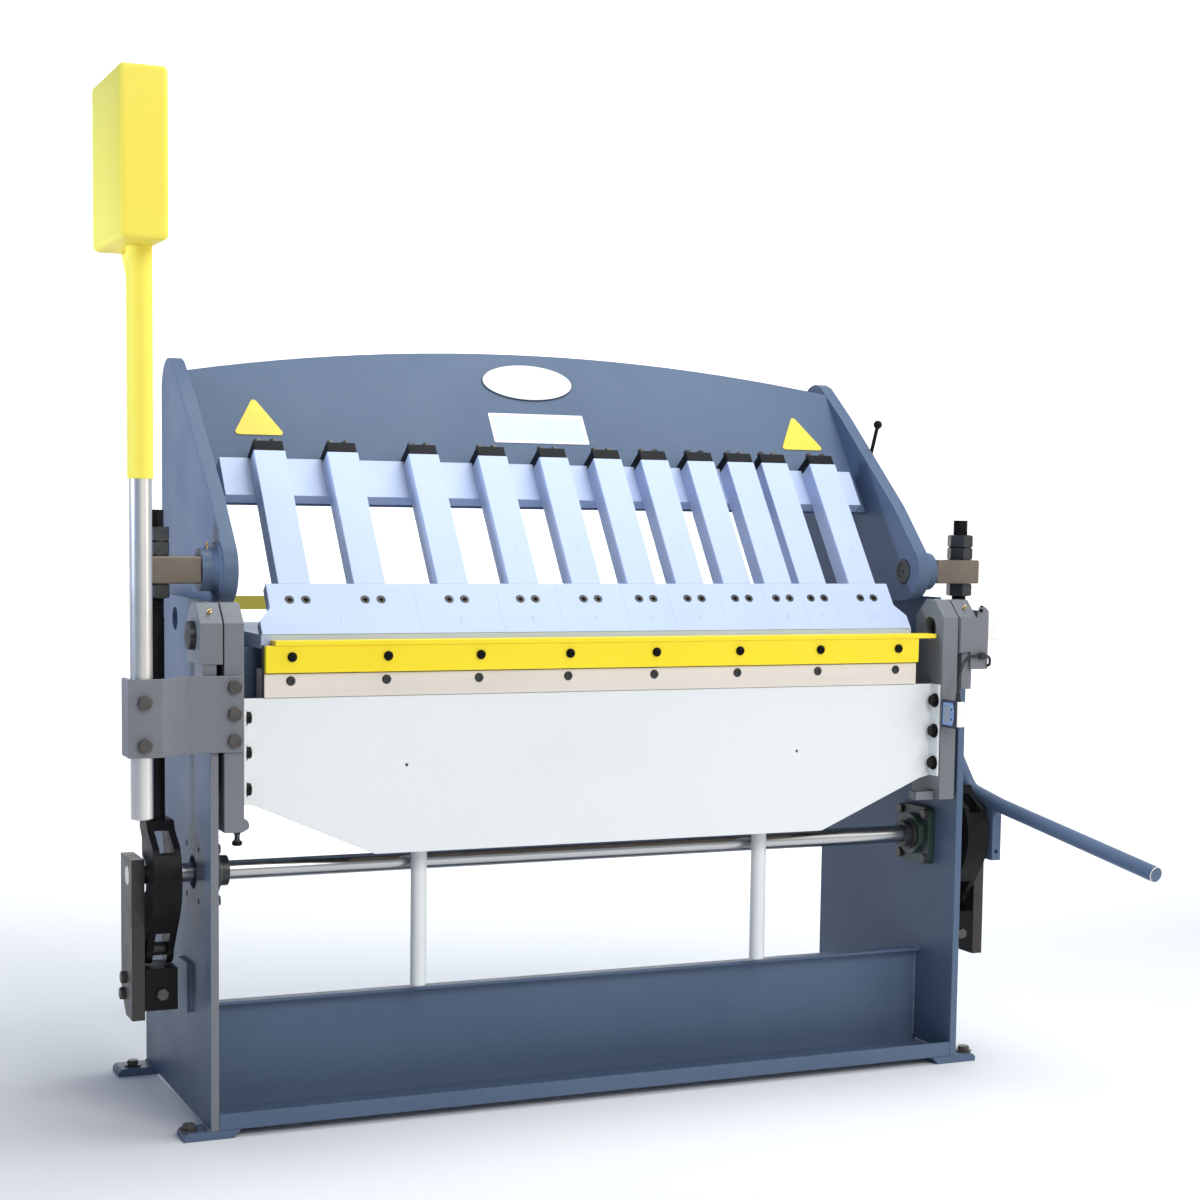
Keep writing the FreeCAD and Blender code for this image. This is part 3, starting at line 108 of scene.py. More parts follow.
def setCamera(values):
    yaw, pitch, roll = (math.radians(values[key]) for key in ("yaw", "pitch", "roll"))
    ahead = Vector((math.sin(yaw) * math.cos(pitch), math.cos(yaw) * math.cos(pitch), math.sin(pitch)))
    level = Vector((math.cos(yaw), -math.sin(yaw), 0))
    upright = level.cross(ahead)
    right = level * math.cos(roll) + upright * math.sin(roll)
    up = upright * math.cos(roll) - level * math.sin(roll)
    data = bpy.data.cameras.new("photoCamera")
    data.lens = values["lens"]
    data.sensor_width = values["sensor"]
    data.shift_y = values["shiftUp"]
    data.clip_end = values["farClip"]
    holder = newObject("photoCamera", data)
    turn = Matrix((right, up, -ahead)).transposed()
    holder.matrix_world = Matrix.Translation(values["place"]) @ turn.to_4x4()
    bpy.context.scene.camera = holder


setCamera(camera)

light = {
    "skyTone": (0.92, 0.96, 1.0),
    "leftTone": (0.10, 0.20, 0.45),
    "leftEnds": (-0.7, 0.2),
    "seenTone": (1.7, 1.75, 1.8),
    "skyStrength": 0.46,
    "boxes": [  # place, aim, size across, size up, watts, tone
        ((0.2, -4.0, 3.2), (0, 0, 0.9), 2.8, 2.2, 94, (1.0, 0.99, 0.97)),
        ((0.9, 0.2, 4.2), (0.1, 0, 1.0), 2.6, 2.4, 96, (0.88, 0.94, 1.0)),
        ((3.2, -2.6, 1.6), (0.4, 0, 0.8), 2.0, 2.4, 22, (1.0, 0.98, 0.95)),
        ((3.2, 2.4, 3.4), (3.2, 6.5, 1.6), 7.0, 1.6, 280, (1.0, 0.99, 0.98)),
    ],
    "spot": {"place": (-3.2, 0.1, 1.7), "aim": (-0.8, 0.1, 1.32), "cone": 42, "watts": 230,
             "radius": 0.3, "tone": (0.62, 0.75, 1.0)},
}


def setLamp(kind, name, place, aim, watts, tone, **settings):
    data = bpy.data.lights.new(name, kind)
    data.energy = watts
    data.color = tone
    for key, value in settings.items():
        setattr(data, key, value)
    turn = (Vector(aim) - Vector(place)).to_track_quat("-Z", "Y")
    newObject(name, data).matrix_world = Matrix.Translation(place) @ turn.to_matrix().to_4x4()


def setSky(values):
    world = bpy.data.worlds.new("studio")
    bpy.context.scene.world = world
    world.use_nodes = True
    tree = world.node_tree
    where = placeNode(tree, "ShaderNodeTexCoord").outputs["Generated"]
    across = placeNode(tree, "ShaderNodeSeparateXYZ", {0: where}).outputs["X"]
    left, right = values["leftEnds"]
    share = placeNode(tree, "ShaderNodeMapRange", {"Value": across, "From Min": left, "From Max": right},
                      interpolation_type="SMOOTHSTEP").outputs["Result"]
    # dark blue on the left, as the photo's left faces show, but pale where the camera itself sees it
    tones = blended(tree, share, values["leftTone"], values["skyTone"])
    seen = placeNode(tree, "ShaderNodeLightPath").outputs["Is Camera Ray"]
    sky = tree.nodes["Background"]
    sky.inputs["Strength"].default_value = values["skyStrength"]
    feed(tree, sky.inputs["Color"], blended(tree, seen, tones, values["seenTone"]))


def setLight(values):
    setSky(values)
    for number, (place, aim, wide, high, watts, tone) in enumerate(values["boxes"]):
        setLamp("AREA", "softBox%d" % number, place, aim, watts, tone,
                shape="RECTANGLE", size=wide, size_y=high)
    spot = values["spot"]
    setLamp("SPOT", "leftSpot", spot["place"], spot["aim"], spot["watts"], spot["tone"],
            spot_size=math.radians(spot["cone"]), spot_blend=1, shadow_soft_size=spot["radius"])


floorShape = {"reach": 9.0, "wallFar": 6.5, "wallTop": 6.5, "curve": 2.0, "steps": 12,
              "tone": (0.97, 0.97, 0.97), "roughness": 0.85}


def setFloor(values):
    reach, far, curve = values["reach"], values["wallFar"], values["curve"]
    line = [(-reach, 0), (far - curve, 0)]
    for step in range(1, values["steps"] + 1):
        angle = math.pi / 2 * step / values["steps"]
        line.append((far - curve + curve * math.sin(angle), curve - curve * math.cos(angle)))
    line.append((far, values["wallTop"]))
    points = [(x, y, z) for y, z in line for x in (-reach, reach)]
    faces = [(first, first + 1, first + 3, first + 2) for first in range(0, len(points) - 2, 2)]
    mesh = bpy.data.meshes.new("studioFloor")
    mesh.from_pydata(points, [], faces)
    for polygon in mesh.polygons:
        polygon.use_smooth = True
    floor = newObject("studioFloor", mesh)
    material, _, shader = newFinish("paleFloor")
    shader.inputs["Base Color"].default_value = (*values["tone"], 1)
    shader.inputs["Roughness"].default_value = values["roughness"]
    mesh.materials.append(material)


setLight(light)
setFloor(floorShape)
bpy.context.scene.view_settings.view_transform = "Standard"
print("camera, light and floor set")


# Finishes, one for each of the record's slots and a few more

def mapped(tree, stretch):
    where = placeNode(tree, "ShaderNodeTexCoord").outputs["Object"]
    return placeNode(tree, "ShaderNodeMapping", {"Vector": where, "Scale": stretch}).outputs["Vector"]


def noise(tree, vector, scale, detail=3.0, roughness=0.55):
    return placeNode(tree, "ShaderNodeTexNoise", {"Vector": vector, "Scale": scale, "Detail": detail,
                                                  "Roughness": roughness}).outputs["Fac"]


def spread(tree, value, low, high, start=0.3, end=0.7):
    return placeNode(tree, "ShaderNodeMapRange", {"Value": value, "From Min": start, "From Max": end,
                                                  "To Min": low, "To Max": high}).outputs["Result"]


def clouded(tree, values, clouds):
    return blended(tree, spread(tree, clouds, 0, 1), *values["tones"][:2])


def finished(tree, shader, tone, rough, height, depth):
    # sets a shader's tone, roughness and bump from other nodes' outputs
    bumps = placeNode(tree, "ShaderNodeBump", {"Strength": 1.0, "Distance": depth, "Height": height})
    for key, value in (("Base Color", tone), ("Roughness", rough), ("Normal", bumps.outputs["Normal"])):
        feed(tree, shader.inputs[key], value)


def paint(name, values):
    material, tree, shader = newFinish(name)
    vector = mapped(tree, (1, 1, 1))
    tone = clouded(tree, values, noise(tree, vector, values["cloudScale"], 4))
    specks = noise(tree, vector, values["speckScale"], 2)
    tone = blended(tree, spread(tree, specks, 0, values["speckAmount"], *values["speckEnds"]), tone,
                   values["tones"][2])
    rough = spread(tree, noise(tree, vector, values["cloudScale"] * 3, 4), *values["roughness"])
    shader.inputs["Specular IOR Level"].default_value = values["shine"]
    shader.inputs["Coat Weight"].default_value = values["coat"]
    shader.inputs["Coat Roughness"].default_value = values["coatRoughness"]
    finished(tree, shader, tone, rough, noise(tree, vector, values["peelScale"], 2), values["peelDepth"])
    return material


def steel(name, values):
    material, tree, shader = newFinish(name)
    lines = noise(tree, mapped(tree, values["grain"]), 1.0, 3, 0.6)
    clouds = noise(tree, mapped(tree, (1, 1, 1)), values["cloudScale"], 4)
    tone = clouded(tree, values, clouds)
    tone = blended(tree, spread(tree, lines, 0, values["grainAmount"]), tone, values["tones"][2])
    shader.inputs["Metallic"].default_value = values["metal"]
    shader.inputs["Specular IOR Level"].default_value = values["shine"]
    finished(tree, shader, tone, spread(tree, clouds, *values["roughness"]), lines, values["grainDepth"])
    return material


def moulded(name, values):
    material, tree, shader = newFinish(name)
    vector = mapped(tree, (1, 1, 1))
    grain = noise(tree, vector, values["grainScale"], 2)
    tone = clouded(tree, values, noise(tree, vector, values["cloudScale"], 3))
    finished(tree, shader, tone, spread(tree, grain, *values["roughness"]), grain, values["grainDepth"])
    return material


# The values that most finishes of a kind share, then each finish's own. Its tones are two for the clouds,
# and a third for the specks or the grain.
paintBase = {"cloudScale": 2.3, "speckScale": 160, "speckAmount": 0.25, "speckEnds": (0.62, 0.75),
             "roughness": (0.34, 0.46), "shine": 0.5, "coat": 0.05, "coatRoughness": 0.12,
             "peelScale": 260, "peelDepth": 0.0002}
paints = {
    "frame_paint": {
        "tones": ((0.094, 0.136, 0.214), (0.112, 0.158, 0.238), (0.16, 0.21, 0.30)),
        "shine": 0.16, "coat": 0.04, "peelDepth": 0.00022},
    "apron_paint": {
        "tones": ((0.80, 0.83, 0.82), (0.85, 0.865, 0.85), (0.70, 0.74, 0.72)),
        "cloudScale": 2.0, "speckScale": 140, "coat": 0.3, "peelScale": 240},
    "yellow_paint": {
        "tones": ((0.98, 0.74, 0.004), (1.0, 0.79, 0.012), (0.86, 0.60, 0.0)),
        "cloudScale": 2.6, "speckScale": 150, "speckAmount": 0.2, "roughness": (0.36, 0.48),
        "peelScale": 230, "peelDepth": 0.00022},
    "cast_green": {
        "tones": ((0.014, 0.036, 0.028), (0.020, 0.048, 0.038), (0.05, 0.10, 0.08)),
        "cloudScale": 14, "speckScale": 220, "speckAmount": 0.5, "roughness": (0.35, 0.55), "coat": 0.2,
        "peelScale": 420, "peelDepth": 0.0006},
    # a lighter, greyer copy of the frame paint for the arms, brackets and hinge blocks: painted light for
    # their lit fronts
    "arm_paint": {
        "tones": ((0.185, 0.192, 0.205), (0.205, 0.212, 0.228), (0.26, 0.265, 0.28)),
        "shine": 0.25, "peelDepth": 0.00018},
    # a paler copy of the yellow paint for the counterweight, its sleeve and the rear stop bar: painted light
    "weight_paint": {
        "tones": ((1.0, 0.82, 0.11), (1.0, 0.86, 0.15), (0.92, 0.74, 0.08)),
        "cloudScale": 2.6, "speckScale": 150, "speckAmount": 0.2, "shine": 0.04, "coat": 0.0,
        "peelScale": 230},
    # a lighter copy of the frame paint for the weld beads: a painted highlight
    "weld_paint": {
        "tones": ((0.15, 0.19, 0.27), (0.20, 0.24, 0.32), (0.30, 0.33, 0.38)),
        "cloudScale": 40, "speckAmount": 0.3, "roughness": (0.28, 0.40), "coat": 0.25},
}
steelBase = {"cloudScale": 12, "grain": (20, 260, 20), "grainAmount": 0.35, "grainDepth": 0.00012,
             "metal": 0.30, "roughness": (0.34, 0.50), "shine": 0.5}
steels = {
    # grey steel tinted lavender-blue: the blue is a painted reflection of a blue surround, the grey the
    # steel's own
    "finger_steel": {
        "tones": ((0.53, 0.61, 0.80), (0.57, 0.65, 0.84), (0.45, 0.52, 0.70)),
        "cloudScale": 5, "grain": (6, 420, 420), "grainAmount": 0.25, "grainDepth": 0.00005,
        "metal": 0.14, "roughness": (0.42, 0.52), "shine": 0.2},
    "bar_steel": {
        "tones": ((0.80, 0.72, 0.63), (0.86, 0.78, 0.69), (0.62, 0.56, 0.52)),
        "cloudScale": 3, "grain": (5, 500, 500), "grainAmount": 0.25, "grainDepth": 0.00005,
        "metal": 0.45, "roughness": (0.36, 0.48)},
    "black_steel": {
        "tones": ((0.006, 0.006, 0.0065), (0.012, 0.011, 0.011), (0.016, 0.015, 0.014)),
        "cloudScale": 30, "grain": (180, 180, 180), "grainAmount": 0.4, "metal": 0.0,
        "roughness": (0.30, 0.46), "grainDepth": 0.0001, "shine": 0.10},
    "dark_steel": {"tones": ((0.135, 0.108, 0.080), (0.175, 0.142, 0.106), (0.24, 0.20, 0.16))},
    "crank_steel": {"tones": ((0.030, 0.028, 0.026), (0.044, 0.040, 0.036), (0.085, 0.075, 0.065))},
    "rod_chrome": {
        "tones": ((0.84, 0.80, 0.75), (0.89, 0.85, 0.80), (0.68, 0.65, 0.61)),
        "cloudScale": 6, "grain": (300, 300, 8), "grainAmount": 0.25, "grainDepth": 0.00003,
        "metal": 0.88, "roughness": (0.28, 0.38)},
    "bearing_steel": {
        "tones": ((0.50, 0.50, 0.50), (0.55, 0.55, 0.54), (0.42, 0.42, 0.42)),
        "cloudScale": 6, "grain": (420, 12, 12), "grainAmount": 0.2, "metal": 1.0,
        "roughness": (0.18, 0.26), "grainDepth": 0.00002},
    "brass": {
        "tones": ((0.70, 0.50, 0.22), (0.78, 0.58, 0.30), (0.55, 0.38, 0.18)),
        "cloudScale": 60, "grain": (300, 300, 300), "grainAmount": 0.3, "metal": 1.0,
        "roughness": (0.24, 0.34), "grainDepth": 0.00003},
    "bolt_steel": {
        "tones": ((0.070, 0.064, 0.058), (0.11, 0.102, 0.094), (0.17, 0.155, 0.142)),
        "cloudScale": 45, "grain": (300, 300, 300), "grainAmount": 0.4, "metal": 0.7,
        "roughness": (0.34, 0.48), "grainDepth": 0.00008},
    "nut_steel": {
        "tones": ((0.030, 0.034, 0.036), (0.060, 0.062, 0.062), (0.09, 0.09, 0.088)),
        "cloudScale": 30, "grain": (220, 220, 220), "grainAmount": 0.4, "metal": 0.6,
        "roughness": (0.32, 0.46), "grainDepth": 0.00008},
}
plasticBase = {"cloudScale": 18, "grainScale": 900, "roughness": (0.30, 0.38), "grainDepth": 0.00002}
plastics = {
    "white_plastic": {"tones": ((0.95, 0.93, 0.87), (0.97, 0.95, 0.90)),
                      "roughness": (0.42, 0.52), "grainDepth": 0.00008},
    "dark_plastic": {"tones": ((0.010, 0.018, 0.040), (0.014, 0.024, 0.050)),
                     "roughness": (0.32, 0.42), "grainDepth": 0.00006},
    "button_plastic": {"tones": ((0.05, 0.09, 0.20), (0.06, 0.10, 0.22)), "grainScale": 700,
                       "roughness": (0.45, 0.55), "grainDepth": 0.00005},
    "cable_rubber": {"tones": ((0.010, 0.010, 0.012), (0.016, 0.016, 0.018)), "grainScale": 600,
                     "roughness": (0.40, 0.50), "grainDepth": 0.00005},
    "plate_white": {"tones": ((0.86, 0.88, 0.90), (0.89, 0.90, 0.92)), "grainScale": 500,
                    "roughness": (0.22, 0.30), "grainDepth": 0.00003},
    "etched": {"tones": ((0.42, 0.46, 0.55), (0.50, 0.54, 0.62)), "roughness": (0.5, 0.6)},
    "oval_white": {"tones": ((0.80, 0.83, 0.86), (0.84, 0.86, 0.88)), "grainScale": 500,
                   "roughness": (0.22, 0.30), "grainDepth": 0.00003},
    "plate_blue": {"tones": ((0.60, 0.72, 0.84), (0.64, 0.75, 0.86)), "grainScale": 500,
                   "grainDepth": 0.00003},
    "panel_blue": {"tones": ((0.20, 0.36, 0.66), (0.24, 0.40, 0.70)), "grainScale": 800},
    "ring_white": {"tones": ((0.55, 0.66, 0.85), (0.60, 0.70, 0.87)), "grainScale": 800},
    "screen_grey": {"tones": ((0.30, 0.34, 0.40), (0.33, 0.37, 0.43)), "grainScale": 1200,
                    "roughness": (0.12, 0.18), "grainDepth": 0.00001},
    "yellow_label": {"tones": ((0.90, 0.66, 0.02), (0.93, 0.70, 0.03)), "grainScale": 600},
}

finishes = {}
kinds = ((paint, paintBase, paints), (steel, steelBase, steels), (moulded, plasticBase, plastics))
for kind, base, table in kinds:
    for name, values in table.items():
        finishes[name] = kind(name, {**base, **values})
slotOf = {part["node"]: part["material_slot"] for part in frame["record"]["subparts"]}
bodies = frame["record"]["behaviour"]["bodies"]
bodyOf = {member: body for body, members in bodies.items() for member in members}
for name, node in nodes.items():
    node.data.materials.clear()
    node.data.materials.append(finishes[slotOf[name]])
print("finishes made:", len(finishes))


# Shared tools: meshes, pieces and the frame's own solids

def meshFrom(name, shape):
    mesh = bpy.data.meshes.new(name)
    shape.to_mesh(mesh)
    shape.free()
    return mesh


def shapeFrom(mesh):
    shape = bmesh.new()
    shape.from_mesh(mesh)
    return shape


def dressed(mesh, *names):
    for name in names:
        mesh.materials.append(finishes[name])
    return mesh


def appliedMesh(holder):
    # the evaluated shape as a plain mesh, with the holder itself thrown away
    mesh = bpy.data.meshes.new_from_object(holder.evaluated_get(bpy.context.evaluated_depsgraph_get()))
    bpy.data.objects.remove(holder)
    return mesh


def joined(name, meshes):
    whole = bmesh.new()
    used = []
    for mesh in meshes:
        first = len(whole.faces)
        whole.from_mesh(mesh)
        whole.faces.ensure_lookup_table()
        for face in whole.faces[first:]:
            material = mesh.materials[face.material_index]
            if material not in used:
                used.append(material)
            face.material_index = used.index(material)
    mesh = meshFrom(name, whole)
    for material in used:
        mesh.materials.append(material)
    return mesh


sharpAngle = 32


def addPiece(name, mesh, body, slotName, replaced=(), smooth=sharpAngle):
    # puts a finished mesh on its body, with its slot's finish unless it brings its own
    if not mesh.materials:
        dressed(mesh, slotName)
    if smooth:
        for polygon in mesh.polygons:
            polygon.use_smooth = True
        mesh.set_sharp_from_angle(angle=math.radians(smooth))
        holder = newObject(name, mesh)
        holder.modifiers.new("flatFaces", "WEIGHTED_NORMAL").keep_sharp = True
        mesh = appliedMesh(holder)
    mesh.name = name
    piece = newObject(name, mesh)
    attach(piece, body)
    if replaced:
        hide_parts(*replaced)


def beveled(mesh, width, steps=2):
    holder = newObject(mesh.name, mesh)
    bevel = holder.modifiers.new("edges", "BEVEL")
    bevel.width = width
    bevel.segments = steps
    bevel.limit_method = "ANGLE"
    bevel.angle_limit = math.radians(sharpAngle)
    bevel.use_clamp_overlap = False
    bevel.loop_slide = False
    return appliedMesh(holder)


def carved(mesh, cutter):
    holder = newObject(mesh.name, mesh)
    tool = newObject(mesh.name + "Cutter", cutter)
    cut = holder.modifiers.new("cut", "BOOLEAN")
    cut.operation = "DIFFERENCE"
    cut.solver = "EXACT"
    cut.object = tool
    result = appliedMesh(holder)
    bpy.data.objects.remove(tool)
    return result


def boxMesh(name, low, high):
    shape = bmesh.new()
    bmesh.ops.create_cube(shape, size=1)
    middle = (Vector(low) + Vector(high)) / 2
    size = Vector(high) - Vector(low)
    for vert in shape.verts:
        vert.co = Vector(a * b for a, b in zip(vert.co, size)) + middle
    return meshFrom(name, shape)


def prismMesh(name, outline, depth):
    # a flat outline of points, pushed along a vector into a closed solid
    shape = bmesh.new()
    face = shape.faces.new([shape.verts.new(point) for point in outline])
    pushed = bmesh.ops.extrude_face_region(shape, geom=[face])
    moved = [item for item in pushed["geom"] if isinstance(item, bmesh.types.BMVert)]
    bmesh.ops.translate(shape, verts=moved, vec=Vector(depth))
    bmesh.ops.recalc_face_normals(shape, faces=shape.faces)
    return meshFrom(name, shape)


def turnedMesh(name, base, direction, profile, sides=40):
    # a lathe: profile holds (along, radius) pairs, and closes on the axis at both ends
    turn = Vector(direction).to_track_quat("Z", "Y")
    shape = bmesh.new()
    rings = []
    for along, radius in profile:
        ring = []
        for side in range(sides):
            angle = 2 * math.pi * side / sides
            local = Vector((radius * math.cos(angle), radius * math.sin(angle), along))
            ring.append(shape.verts.new(Vector(base) + turn @ local))
        rings.append(ring)
    for first, second in zip(rings, rings[1:]):
        for side in range(sides):
            after = (side + 1) % sides
            shape.faces.new((first[side], first[after], second[after], second[side]))
    shape.faces.new(list(reversed(rings[0])))
    shape.faces.new(rings[-1])
    bmesh.ops.recalc_face_normals(shape, faces=shape.faces)
    return meshFrom(name, shape)


def boreMesh(base, direction, radius, length, sides=32):
    return turnedMesh("bore", base, direction, [(0, radius), (length, radius)], sides)


def cutFlat(shape, place, outward):
    # cuts away what lies past a plane and closes the cut
    everything = list(shape.verts) + list(shape.edges) + list(shape.faces)
    cut = bmesh.ops.bisect_plane(shape, geom=everything, plane_co=place, plane_no=outward, clear_outer=True)
    rim = [item for item in cut["geom_cut"] if isinstance(item, bmesh.types.BMEdge)]
    bmesh.ops.contextual_create(shape, geom=rim)


def mergedShape(nodeName):
    shape = shapeFrom(nodes[nodeName].data)
    bmesh.ops.remove_doubles(shape, verts=shape.verts, dist=2e-6)
    return shape


def solidsOf(nodeName):
    # the corner points of each separate solid in a node
    shape = mergedShape(nodeName)
    found = set()
    solids = []
    for start in shape.verts:
        if start in found:
            continue
        found.add(start)
        group, edge = [start], [start]
        while edge:
            near = edge.pop()
            for link in near.link_edges:
                other = link.other_vert(near)
                if other not in found:
                    found.add(other)
                    group.append(other)
                    edge.append(other)
        solids.append([vert.co.copy() for vert in group])
    shape.free()
    return solids


def middleOf(points):
    low = Vector(min(point[axis] for point in points) for axis in range(3))
    high = Vector(max(point[axis] for point in points) for axis in range(3))
    return (low + high) / 2, high - low


flatAngle = math.radians(0.6)  # flat faces that meet at less than this become one


def softened(nodeName, width, dress=None):
    # a merged copy of a node's shape with broken edges takes the node's place
    shape = mergedShape(nodeName)
    bmesh.ops.dissolve_limit(shape, angle_limit=flatAngle, verts=shape.verts, edges=shape.edges,
                             delimit={"NORMAL"})
    mesh = beveled(meshFrom(nodeName + "Soft", shape), width)
    mesh.materials.clear()
    if nodeName in ownFinish:
        dressed(mesh, ownFinish[nodeName])
    if dress:
        dress(mesh)
    addPiece(nodeName + "Soft", mesh, bodyOf[nodeName], slotOf[nodeName], [nodeName])


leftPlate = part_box("side_plate_left")
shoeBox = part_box("finger_shoes")
frontEdge = leftPlate[0][1]  # where depth 0 lies, as on the side plates
acrossAxis, upward, forward = Vector((1, 0, 0)), Vector((0, 0, 1)), Vector((0, -1, 0))


def at(x, depth, z):
    return Vector((x, frontEdge + depth, z))


def fromMiddle(middle):
    return Vector((math.copysign(1, middle.x), 0, 0))


def towardsMiddle(middle):
    return -fromMiddle(middle)


# Plates, castings and bars: the frame's own shapes with broken edges
edgeBreaks = {
    "side_plate_left": 0.0014, "side_plate_right": 0.0014, "feet": 0.0012, "base_member": 0.0016,
    "bed_plate": 0.0008, "bed_webs": 0.0008, "rear_stop_bar": 0.0008, "hinge_blocks": 0.0014,
    "bearing_housings": 0.0016, "sensor_bracket": 0.0006, "cheek_left": 0.0014, "cheek_right": 0.0014,
    "back_plate": 0.0008, "finger_rail": 0.0006, "crank_arms": 0.0010, "crank_blocks": 0.0014,
    "arm_left": 0.0016, "arm_right": 0.0016, "apron_plate": 0.0010, "apron_beam": 0.0008,
    "bending_bar": 0.0012, "steel_bars": 0.0006, "counterweight_bracket": 0.0014, "finger_bars": 0.0010,
    "finger_clamps": 0.0008, "hinge_pins": 0.0010, "cross_shaft": 0.0015, "shaft_collars": 0.0010,
    "crank_pins": 0.0010, "bearing_inserts": 0.0006, "beam_pivot_pins": 0.0012,
    "counterweight": 0.0003, "counterweight_rod": 0.0004, "counterweight_sleeve": 0.0004,
    "apron_posts": 0.0004, "lock_lever": 0.0005, "block_nipples": 0.0002, "hub_nipples": 0.0002,
}
# finishes other than the slot's; the lighter copies of the frame and yellow paints here are painted light
ownFinish = {
    "arm_left": "arm_paint", "arm_right": "arm_paint", "counterweight_bracket": "arm_paint",
    "hinge_blocks": "arm_paint", "sensor_bracket": "arm_paint", "counterweight": "weight_paint",
    "counterweight_sleeve": "weight_paint", "rear_stop_bar": "weight_paint", "hinge_pins": "nut_steel",
    "crank_arms": "crank_steel", "crank_pins": "crank_steel", "shaft_collars": "nut_steel",
    "bearing_inserts": "bolt_steel",
}
paintedLightEdgeMask = {"facing": 0.9, "within": 0.002}


def greyEdge(mesh):
    # paints the left plate's front edge in the arms' lighter grey, a painted highlight for the light it
    # catches as the arms do
    dressed(mesh, "frame_paint", "arm_paint")
    front = min(vert.co.y for vert in mesh.vertices)
    for polygon in mesh.polygons:
        facing = polygon.normal.dot(forward)
        if facing > paintedLightEdgeMask["facing"] and polygon.center.y < front + paintedLightEdgeMask["within"]:
            polygon.material_index = 1


for name, width in edgeBreaks.items():
    softened(name, width, greyEdge if name == "side_plate_left" else None)
print("edges broken on", len(edgeBreaks), "nodes")


# Geometry Nodes for what repeats: bolts, screws, nuts and weld beads

coneSpare = 0.001  # how far a cutting shape runs past the face it cuts


def newTree(name, sizes):
    tree = bpy.data.node_groups.new(name, "GeometryNodeTree")
    tree.is_modifier = True
    tree.interface.new_socket("Places", in_out="INPUT", socket_type="NodeSocketGeometry")
    for label, value in sizes.items():
        socket = tree.interface.new_socket(label, in_out="INPUT", socket_type="NodeSocketFloat")
        socket.default_value = value
    tree.interface.new_socket("Finish", in_out="INPUT", socket_type="NodeSocketMaterial")
    tree.interface.new_socket("Shape", in_out="OUTPUT", socket_type="NodeSocketGeometry")
    return tree, placeNode(tree, "NodeGroupInput").outputs


def maths(tree, operation, first, second):
    return placeNode(tree, "ShaderNodeMath", {0: first, 1: second}, operation=operation).outputs[0]


def lifted(tree, shape, height, flipped=False):
    place = placeNode(tree, "ShaderNodeCombineXYZ", {"Z": height}).outputs[0]
    turn = (math.pi, 0, 0) if flipped else (0, 0, 0)
    return placeNode(tree, "GeometryNodeTransform",
                     {"Geometry": shape, "Translation": place, "Rotation": turn}).outputs[0]


def standing(tree, sides, radius, low, high):
    # a closed prism or cylinder from low to high on the Z axis
    deep = maths(tree, "SUBTRACT", high, low)
    middle = maths(tree, "MULTIPLY", maths(tree, "ADD", high, low), 0.5)
    body = placeNode(tree, "GeometryNodeMeshCylinder", {"Vertices": sides, "Radius": radius, "Depth": deep})
    return lifted(tree, body.outputs["Mesh"], middle)


def shankAndWasher(tree, given):
    return [standing(tree, sides, given[name + " radius"], maths(tree, "MULTIPLY", given[depth], -1), 0.0)
            for name, sides, depth in (("Shank", 24, "Shank length"), ("Washer", 36, "Washer height"))]


def combined(tree, operation, shapes, first=None):
    node = placeNode(tree, "GeometryNodeMeshBoolean", {"Mesh 2": shapes}, operation=operation,
                     solver="EXACT")
    if first is not None:
        feed(tree, node.inputs["Mesh 1"], first)
    return node.outputs["Mesh"]


def chamferCone(tree, radius, height, slope):
    # the cone that breaks a head's top rim; slope is its run for one unit of height
    reach = maths(tree, "ADD", height, coneSpare)
    wide = maths(tree, "ADD", radius, maths(tree, "MULTIPLY", reach, slope))
    cone = placeNode(tree, "GeometryNodeMeshCone",
                     {"Vertices": 48, "Radius Top": radius, "Radius Bottom": wide, "Depth": reach})
    return lifted(tree, cone.outputs["Mesh"], -coneSpare)


def hexHead(tree, across, height, bothEnds=False):
    corner = maths(tree, "DIVIDE", across, math.sqrt(3))
    rim = maths(tree, "MULTIPLY", across, 0.48)
    low = -coneSpare if bothEnds else 0.0
    prism = standing(tree, 6, corner, low, maths(tree, "ADD", height, coneSpare))
    cone = chamferCone(tree, rim, height, 1.8)
    lower = [lifted(tree, cone, height, flipped=True)] if bothEnds else []
    return combined(tree, "INTERSECT", [prism, cone] + lower)


def randomValue(tree, low, high, seed):
    node = placeNode(tree, "FunctionNodeRandomValue", {"Min": low, "Max": high, "Seed": seed},
                     data_type="FLOAT")
    return next(output for output in node.outputs if output.enabled)


def finishTree(tree, given, shape):
    real = placeNode(tree, "GeometryNodeRealizeInstances", {"Geometry": shape}).outputs[0]
    final = placeNode(tree, "GeometryNodeSetMaterial", {"Geometry": real, "Material": given["Finish"]})
    placeNode(tree, "NodeGroupOutput", {"Shape": final.outputs[0]})


def setOut(tree, given, parts):
    # one copy on each place, turned to its facing and spun about it, then made real with its finish
    shape = placeNode(tree, "GeometryNodeJoinGeometry", {"Geometry": parts}).outputs[0]
    facing = placeNode(tree, "GeometryNodeInputNamedAttribute", {"Name": "facing"}, data_type="FLOAT_VECTOR")
    turn = placeNode(tree, "FunctionNodeAlignRotationToVector", {"Vector": facing.outputs[0]}, axis="Z")
    spin = randomValue(tree, 0.0, math.pi, 7)
    own = placeNode(tree, "FunctionNodeAxisAngleToRotation", {"Axis": (0, 0, 1), "Angle": spin})
    both = placeNode(tree, "FunctionNodeRotateRotation",
                     {"Rotation": turn.outputs[0], "Rotate By": own.outputs[0]}, rotation_space="LOCAL")
    copies = placeNode(tree, "GeometryNodeInstanceOnPoints",
                       {"Points": given["Places"], "Instance": shape, "Rotation": both.outputs[0]})
    finishTree(tree, given, copies.outputs[0])


